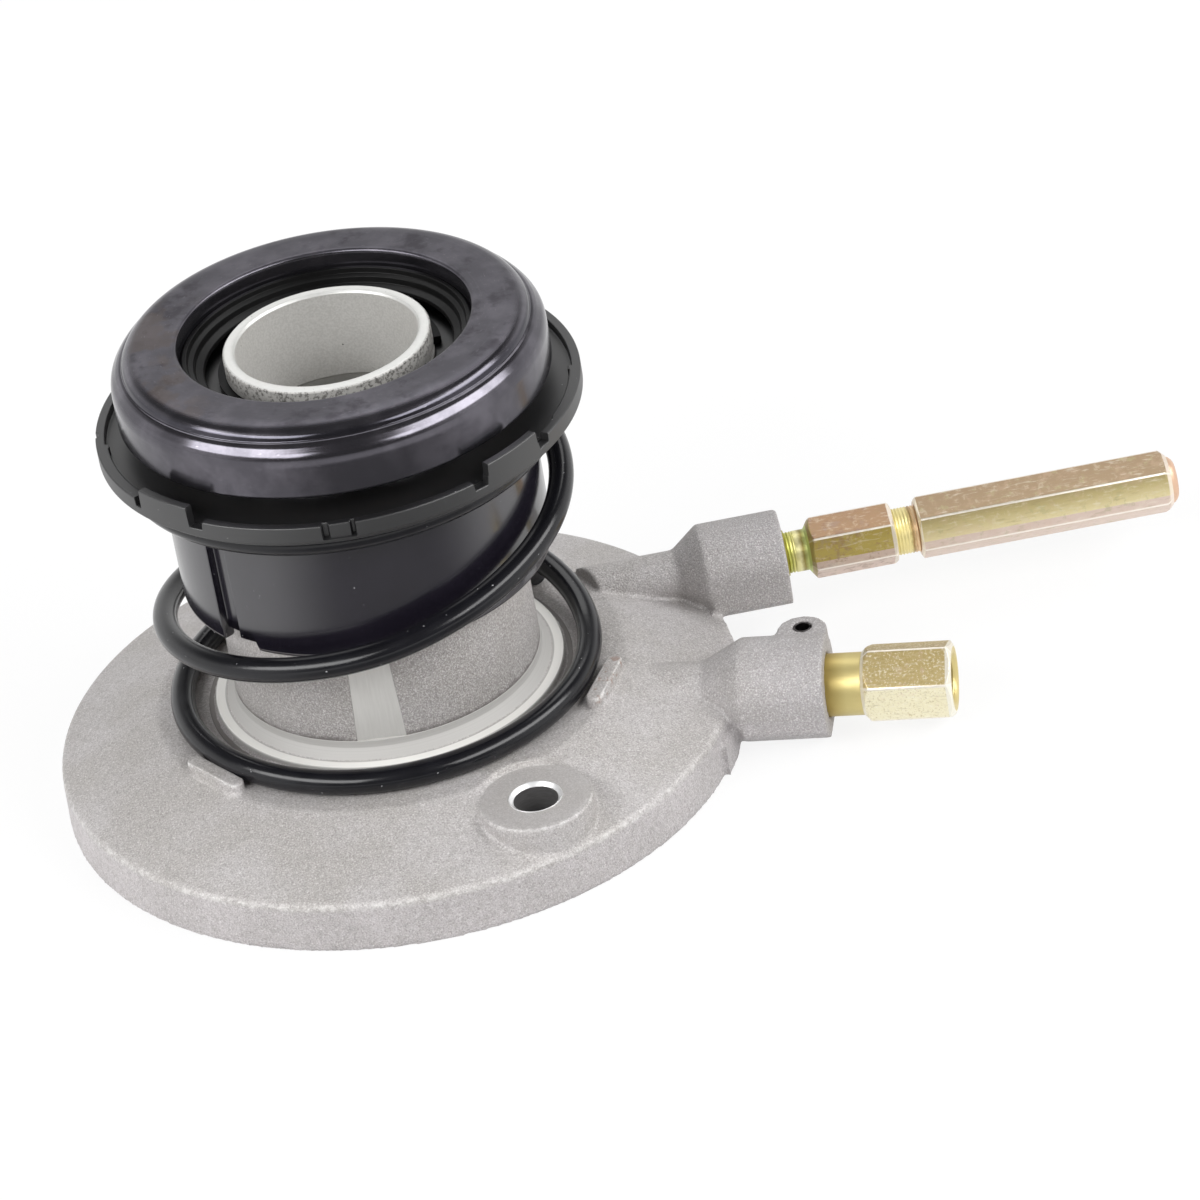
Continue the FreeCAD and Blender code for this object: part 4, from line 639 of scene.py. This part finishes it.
def wire_spring():
    """Round wire: centre line (38.35 cos t - 0.5, 38.35 sin t, 19.22 + 51.36 rise(t)), the rise of the table
    smoothed over 30 degrees; each ring is centre + 2.3 (outward cos u + normal sin u), and both ends are
    drawn in to 1.9 and closed."""
    turn = np.arange(-325, 800.1, 2.0)
    table = np.array(SPRING_RISE)
    kernel = np.hanning(17)[1:-1]
    high = np.interp(np.arange(-355, 830.1, 2.0), table[:, 0], table[:, 1])
    high = 19.22 + 51.36 * np.convolve(high, kernel / kernel.sum(), "same")[15:15 + len(turn)]
    t = np.radians(turn)
    centre = np.stack([38.35 * np.cos(t) - 0.5, 38.35 * np.sin(t), high], -1)
    along = unit(np.gradient(centre, axis=0))
    out = np.stack([np.cos(t), np.sin(t), np.zeros_like(t)], -1)
    side = unit(np.cross(along, out))
    u = np.linspace(0, 2 * math.pi, 40, endpoint=False)
    ends = [0] + list(range(len(turn))) + [-1]
    size = np.full(len(ends), 2.3)
    size[[0, -1]] = 1.9
    around = out[ends, None] * np.cos(u)[None, :, None] + side[ends, None] * np.sin(u)[None, :, None]
    item = sheet_of("wire_spring", centre[ends, None] + around * size[:, None, None], ring=False)
    dress(item, COAT)
    fit(item, "housing", "spring_black", "preload_spring")
    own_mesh(item)


# Carrier, in degrees but for the gaps' half widths and the wall radius in millimetres: teeth from and to,
# gaps as (middle, half width), slot as (middle, half width), slanted notch from and to, middles of the
# window and the nick
TEETH = ((-150.2, -131.8), (-57.8, -41.5), (29.8, 48.2), (122.2, 138.5))
GAPS = ((-149.4, 0.95), (30.6, 0.95), (-130.3, 1.5), (-60.2, 1.5), (-39.0, 1.5), (49.7, 1.5), (119.8, 1.5),
        (141.0, 1.5))
SLOT = (-141.3, 3.83)
NOTCH = (-145.13, -131.3)
WINDOW, NICK = -95.2, 176.0
WALL_R = 44


def carrier_shell():
    """Moulded carrier: the outline (r, z) is turned about Z, and its points move with the angle t. The wall
    top rises at the teeth and falls at the gaps, the skirt foot rises at the notch, and the radius drops in
    slot, window and nick, and along two stretches inside the wall."""
    outline = [(19.05, 71.0), (32.0, 71.0, 0.8), (32.0, 43.2, 0.4), (34.4, 43.2, 1.0), (34.4, 72.9, 0.4),
               (43.3, 72.9, 0.3), (43.3, 74.0, 0.2), (44.5, 74.0, 0.3), (44.5, 77.2, 0.28),
               (42.8, 77.2, 0.25), (42.8, 75.6, 0.25), (24.9, 75.6, 0.2), (24.9, 82.45, 0.1),
               (24.1, 82.45, 0.1), (24.1, 83.55, 0.1), (24.9, 83.55, 0.1),
               (24.9, 84.1, 0.2), (19.05, 84.1, 0.2)]
    line = rounded(outline, 0.2, 4)
    line = with_rows(line, (45.4, 46.1, 46.3, 72.3, 72.5), 34.2, 34.6)
    line = with_rows(line, (74.3, 74.45, 74.8, 74.95), 44.3, 44.6)
    r0, z0 = line[:, 0], line[:, 1]
    edges = [a for pair in TEETH for a in pair] + [SLOT[0] - SLOT[1], SLOT[0] + SLOT[1]]
    edges += [NOTCH[1] - 0.9, NOTCH[1], NOTCH[1] + 0.9]
    edges += [a + s * math.degrees(w / WALL_R) for a, w in GAPS for s in (-1, 1)]
    edges += [WINDOW + s * math.degrees(w / WALL_R) for w in (2.95, 2.0) for s in (-1, 1)]
    edges += [NICK, NICK + 1.3, NICK - 1.3, -5.6, -7.3]
    near = np.array([-0.5, -0.17, -0.06, 0.06, 0.17, 0.5])
    turn = np.unique(np.round(np.concatenate([np.arange(-180, 180, 0.6)] + [e + near for e in edges]), 3))
    turn = np.unique(np.round((turn + 180) % 360 - 180, 3))
    turn = turn[np.concatenate([[True], np.diff(turn) > 0.04])]

    def inside(low, high, width=0.3):
        """How far each angle is inside a range, seen round the whole turn."""
        return between(turn, low, high, width) + between(turn + 360, low, high, width)

    tooth = sum(inside(a, b) for a, b in TEETH)
    gap = sum(inside(a - math.degrees(w / WALL_R), a + math.degrees(w / WALL_R)) for a, w in GAPS)
    top = (77.2 + 2.3 * np.clip(tooth, 0, 1)) * (1 - np.clip(gap, 0, 1)) + 75.66 * np.clip(gap, 0, 1)
    wall = (z0 > 76.4) & (r0 > 42.0)
    high = np.where(wall[None], z0[None] + (top - 77.2)[:, None], z0[None])
    notch = (step_up(turn, NOTCH[0], 0.5) * (1 - step_up(turn, NOTCH[1], 2.4)))[:, None]
    foot = (z0 < 44.6) & (r0 > 31.0)
    high = np.where(foot[None], high + 3.0 * notch, high)
    skirt = (r0 > 33.3) & (r0 < 34.6) & (z0 < 72.4)
    slot = inside(SLOT[0] - SLOT[1], SLOT[0] + SLOT[1], 0.5)[:, None] * skirt[None]
    reach = r0[None] - 1.5 * slot
    window = inside(WINDOW - 3.84, WINDOW + 3.84, 0.2) - 0.72 * inside(WINDOW - 2.45, WINDOW + 2.8, 0.3)
    reach = reach - 1.2 * window[:, None] * ((r0 > 43.6) & (z0 > 74.4))[None]
    reach = reach - 0.5 * inside(NICK - 1.1, NICK + 1.1, 0.5)[:, None] * (r0 > 44.0)[None]
    # Two stretches cut back inside the wall, each with a deeper step at one end
    inner = ((r0 > 42.5) & (r0 < 43.2) & (z0 > 75.7))[None]
    reach = reach - inner * (0.45 * inside(-30, -7.3, 0.4) + 0.7 * inside(-7.3, -5.6, 0.3))[:, None]
    reach = reach - inner * (0.45 * inside(183.3, 210, 0.4) + 0.7 * inside(181.6, 183.3, 0.3))[:, None]
    t = np.radians(turn)[:, None]
    item = sheet_of("carrier_shell", np.stack([reach * np.cos(t), reach * np.sin(t), high], -1), 40)
    dress(item, PLASTIC)
    fit(item, "carrier", "black_plastic", "bearing_carrier")


def bearing_face():
    """Outer race, turned about Z: flat top worn down at its rim, a groove and the bead below it, and the bore
    that holds balls and lips."""
    item = lathe("bearing_face", [
        (26.8, 92.9, 0.9), (33.5, 92.9, 30), (35.0, 92.72, 30), (36.2, 92.2, 30), (37.0, 91.4, 12),
        (37.3, 90.55, 0.3), (37.8, 90.42, 1.0), (38.35, 90.0, 2.0), (39.45, 88.6, 4.5), (39.8, 87.2, 30),
        (39.8, 80.3, 0.6), (36.6, 80.3, 0.2), (36.6, 82.2, 0.2), (35.7, 83.0, 0.2), (35.7, 84.0, 0.1),
        (33.0, 84.0, 0.1), (33.0, 87.6, 0.5), (31.0, 87.6, 0.3), (31.0, 88.8, 0.2), (26.8, 88.8, 0.2)],
        count=420, steps=8, sharp=60)
    dress(item, BLUED)
    fit(item, "bearing_face", "blued_steel", "bearing_outer_race")


def dust_lip():
    """Rubber lips turned about Z in the mouth of the bearing, one below the other."""
    item = lathe("dust_lip", [
        (26.0, 83.8), (26.78, 83.8), (26.78, 89.3), (26.3, 89.7), (25.6, 89.7, 0.15), (25.35, 88.7, 0.2),
        (24.5, 88.4, 0.15), (24.2, 87.3, 0.2), (22.9, 86.9, 0.15), (22.6, 86.2, 0.15), (25.6, 86.4, 0.3)],
        count=300)
    dress(item, RUBBER)
    fit(item, "bearing_face", "seal_rubber", "bearing_dust_ring")


def hexagon_reach(angle, across, turn):
    """Distance from the axis to the flats of a hexagon, a little blunted at its corners."""
    off = (angle - math.radians(turn)) % (math.pi / 3) - math.pi / 6
    return np.minimum(across / 2 / np.cos(off), across / math.sqrt(3) * 0.988)


def fitting(name, stations, across, turn, axis, finish, arm=0.0, count=216):
    """Bar along X, moved to axis and turned by arm about Z: each station (x, r, kind) is a ring r(t), where
    kind "hex" takes the lower of r and the hexagon, and kind "thread" takes r - 0.16 clip(1.5 w - 0.25) with
    the triangle wave w of x / 0.62 - t / 2 pi."""
    x = np.array([s[0] for s in stations], float)[:, None]
    r = np.array([s[1] for s in stations], float)[:, None]
    kind = [s[2] if len(s) > 2 else "" for s in stations]
    t = np.linspace(0, 2 * math.pi, count, endpoint=False)[None, :]
    reach = np.broadcast_to(r, (len(x), count)).copy()
    hexes = np.array([k == "hex" for k in kind])
    reach[hexes] = np.minimum(reach[hexes], hexagon_reach(t, across, turn))
    threads = np.array([k == "thread" for k in kind])
    saw = np.abs((x / 0.62 - t / (2 * math.pi)) % 1.0 - 0.5) * 2
    reach[threads] -= 0.16 * np.clip(1.5 * saw[threads] - 0.25, 0, 1)
    y, z = reach * np.cos(t), reach * np.sin(t)
    turned_by = math.radians(arm)
    far = np.broadcast_to(x, reach.shape)
    points = np.stack([far * math.cos(turned_by) - y * math.sin(turned_by),
                       far * math.sin(turned_by) + y * math.cos(turned_by) + axis[0], z + axis[1]], -1)
    item = sheet_of(name, points, 32)
    dress(item, finish)
    return item


def hex_run(start, end, across, near, far, near_slope=34.0, far_slope=34.0):
    """Stations of a hexagon with turned bevels that rise from the radii near and far at its two ends."""
    corner = across / math.sqrt(3)
    steps = np.linspace(0, 1, 11)
    rise, fall = [(corner - r) * math.tan(math.radians(a)) for r, a in ((near, near_slope), (far, far_slope))]
    first = [(start + rise * s, near + (corner - near) * s, "hex") for s in steps]
    last = [(end - fall * s, far + (corner - far) * s, "hex") for s in steps[::-1]]
    return first + last


def run(start, end, radius, kind="", step=0.1):
    """Stations of one radius, about a step apart."""
    count = max(2, int((end - start) / step))
    return [(x, radius, kind) for x in np.linspace(start, end, count)]


def inlet_fitting():
    """Thick grooved shank and hexagon with a female thread in its end."""
    stations = [(68.6, 1.8), (68.6, 5.25), (69.2, 5.85), (70.3, 5.85), (70.3, 4.05), (72.7, 4.05),
                (72.7, 5.85), (75.05, 5.85), (75.05, 5.1), (78.95, 5.1), (78.95, 5.85), (84.0, 5.85),
                (88.05, 5.85)]
    stations += hex_run(88.1, 105.0, 13.2, 5.87, 6.3, near_slope=45.0)
    stations += [(105.0, 5.0), (104.95, 4.9), (104.4, 4.45)]
    stations += [(x, 4.45, "thread") for x in np.arange(104.3, 93.2, -0.12)] + [(93.0, 4.4), (90.5, 1.8)]
    item = fitting("inlet_fitting", stations, 13.2, INLET_HEX, INLET_AXIS, ZINC_INLET, arm=INLET_TURN)
    fit(item, "inlet", "plated_steel", "inlet_adaptor")


def bleed_fitting():
    """Short hexagon between two threaded ends."""
    stations = [(67.3, 1.3), (67.3, 3.5), (67.8, 3.98), (77.0, 3.98), (77.2, 3.95), (77.36, 3.95),
                (77.38, 4.4), (77.84, 4.4), (77.88, 3.95)]
    stations += run(77.9, 79.4, 3.95, "thread") + [(79.5, 3.95), (81.7, 3.95)]
    stations += hex_run(81.75, 98.65, 10.6, 3.97, 5.3) + [(98.65, 4.5)]
    stations += run(98.68, 103.1, 4.5, "thread")
    stations += [(103.2, 4.2), (111.4, 4.2), (112.0, 3.6), (112.0, 1.3)]
    item = fitting("bleed_fitting", stations, 10.6, SHORT_HEX, BLEED_AXIS, ZINC_SHORT)
    fit(item, "housing", "plated_steel", "bleed_adaptor")


def bleed_end():
    """Long hexagon with a rounded nose and a small hole along its axis."""
    stations = [(103.2, 4.3)] + hex_run(103.2, 152.0, 10.8, 5.15, 4.8, near_slope=30.0, far_slope=45.0)
    stations += [(152.0, 4.62), (152.02, 4.56), (152.5, 4.35), (153.0, 3.85), (153.3, 3.3), (153.3, 1.6),
                 (153.1, 1.3), (115.0, 1.3), (113.0, 4.3)]
    item = fitting("bleed_end", stations, 10.8, LONG_HEX, BLEED_AXIS, ZINC_LONG)
    fit(item, "bleed", "plated_steel", "bleed_extension")


def slit_pin():
    """Rolled pin: wall between radii 1.35 and 1.74 round its own axis, open over the slit."""
    wall = rounded([(1.35, 4.2), (1.74, 4.2), (1.74, 18.0), (1.35, 18.0)], 0.12, 4)
    t = np.radians(np.linspace(14, 346, 72))[:, None]
    along, side = 77.0, 7.2
    x = along + wall[None, :, 0] * np.cos(t)
    y = side + wall[None, :, 0] * np.sin(t)
    turn = math.radians(INLET_TURN)
    points = np.stack([x * math.cos(turn) - y * math.sin(turn), x * math.sin(turn) + y * math.cos(turn),
                       np.broadcast_to(wall[None, :, 1], x.shape)], -1)
    item = sheet_of("slit_pin", points, ring=False)
    dress(item, PIN_STEEL)
    fit(item, "housing", "pin_steel", "inlet_roll_pin")


cast_body()
cast_lugs()
bolt_sleeves()
turned_foot()
guide_tube()
wire_spring()
carrier_shell()
bearing_face()
dust_lip()
inlet_fitting()
bleed_fitting()
bleed_end()
slit_pin()


# Studio

def camera():
    """Long lens at the viewing angle: columns right, up and back of its matrix, then the eye's place."""
    lift, roll, turn = 0.553997068, -0.167955810, math.radians(-2.3)
    back = np.array([0, -math.cos(lift), math.sin(lift)])
    right = np.array([1.0, 0, 0])
    up = np.cross(back, right)
    axes = np.stack([math.cos(roll) * right + math.sin(roll) * up,
                     -math.sin(roll) * right + math.cos(roll) * up, back], 1)
    spin = np.array([[math.cos(turn), -math.sin(turn), 0], [math.sin(turn), math.cos(turn), 0], [0, 0, 1]])
    eye = spin @ axes @ np.array([36.5602124, 28.1247540, 1127.77535]) * MM
    matrix = np.eye(4)
    matrix[:3, :3], matrix[:3, 3] = spin @ axes, eye
    data = bpy.data.cameras.new("camera")
    data.sensor_width, data.lens = 36.0, 36.0 * 6004.68869 / 1200
    data.clip_start, data.clip_end = 0.05, 20
    item = bpy.data.objects.new("camera", data)
    item.matrix_world = Matrix(matrix.tolist())
    bpy.context.scene.collection.objects.link(item)
    bpy.context.scene.camera = item


def soft_box(name, place, aim, width, height, power):
    """Area light at a place, turned to a point."""
    data = bpy.data.lights.new(name, "AREA")
    data.shape, data.size, data.size_y, data.energy = "RECTANGLE", width, height, power
    item = bpy.data.objects.new(name, data)
    back = unit(np.array(place, float) - np.array(aim, float))
    right = unit(np.cross((0, 0, 1.0), back))
    matrix = np.eye(4)
    matrix[:3, :3] = np.stack([right, np.cross(back, right), back], 1)
    matrix[:3, 3] = place
    item.matrix_world = Matrix(matrix.tolist())
    bpy.context.scene.collection.objects.link(item)


def floor():
    """White table, just under the object: the camera and reflections see it white, reflections with a dark
    patch before the object, and it takes soft shade from the lights."""
    mesh = bpy.data.meshes.new("floor")
    corners = [(x, y, -0.0001) for x, y in ((-6, -6), (6, -6), (6, 6), (-6, 6))]
    mesh.from_pydata(corners, [], [(0, 1, 2, 3)])
    item = bpy.data.objects.new("floor", mesh)
    bpy.context.scene.collection.objects.link(item)
    f = Finish("floor")
    tree = f.tree
    matt = f.node("ShaderNodeBsdfDiffuse", {}, {0: (0.9, 0.9, 0.9, 1)})
    path = f.node("ShaderNodeLightPath", {}, {})
    seen = Wire(f, path.outputs["Is Camera Ray"])
    mirrored = Wire(f, path.outputs["Is Glossy Ray"]).max(Wire(f, path.outputs["Is Transmission Ray"]))
    off = (f.x - 0.03) * (f.x - 0.03) * 0.8 + (f.y + 0.15) * (f.y + 0.15)
    shade = f.wire("ShaderNodeMath", {"operation": "SQRT"}, {0: off}).rise(0.16, 0.06)
    glow = f.node("ShaderNodeEmission", {}, {0: (1, 1, 1, 1), 1: 1 - mirrored * shade * 0.88})
    mixed = f.node("ShaderNodeMixShader", {}, {0: seen.max(mirrored) * 0.86})
    tree.links.new(matt.outputs[0], mixed.inputs[1])
    tree.links.new(glow.outputs[0], mixed.inputs[2])
    out = f.node("ShaderNodeOutputMaterial", {}, {})
    tree.links.new(mixed.outputs[0], out.inputs[0])
    mesh.materials.append(f.material)


def sky():
    """Even room light. The camera sees white; reflections see it white near the table, and dark above and in
    front."""
    world = bpy.data.worlds.new("room")
    bpy.context.scene.world = world
    world.use_nodes = True
    tree = world.node_tree
    tree.nodes.clear()

    def made(kind, settings, *inputs):
        item = tree.nodes.new("ShaderNode" + kind)
        for key, value in settings.items():
            setattr(item, key, value)
        for index, value in enumerate(inputs):
            if isinstance(value, bpy.types.NodeSocket):
                tree.links.new(value, item.inputs[index])
            elif value is not None:
                item.inputs[index].default_value = value
        return item.outputs

    way = made("SeparateXYZ", {}, made("TexCoord", {})["Generated"])
    smooth_step = {"interpolation_type": "SMOOTHSTEP"}
    low = made("MapRange", smooth_step, way[2], 0.2, 0.6, 1.0, 0.0)[0]
    beside = made("MapRange", smooth_step, way[1], -0.85, -0.35, 0.0, 1.0)[0]
    near = made("Math", {"operation": "MULTIPLY"}, low, beside)[0]
    strength = made("Math", {"operation": "MULTIPLY_ADD"}, near, 0.9, 0.12)[0]
    path = made("LightPath", {})
    mirrored = made("Math", {"operation": "MAXIMUM"}, path["Is Glossy Ray"], path["Is Transmission Ray"])[0]
    even, mirror, plain = (made("Background", {}, (1, 1, 1, 1), value)[0] for value in (0.25, strength, 1.0))
    lit = made("MixShader", {}, mirrored, even, mirror)[0]
    shown = made("MixShader", {}, path["Is Camera Ray"], lit, plain)[0]
    made("OutputWorld", {}, shown)


camera()
floor()
sky()
soft_box("left_box", (-0.87, -0.61, 0.84), (0, 0, 0.04), 1.4, 0.5, 16)
soft_box("right_box", (0.98, -0.48, 0.86), (0.02, 0, 0.04), 1.7, 0.5, 18)
soft_box("back_box", (0.1, 0.9, 1.25), (0, 0, 0.05), 1.3, 0.7, 6)
bpy.context.scene.view_settings.view_transform = "Standard"
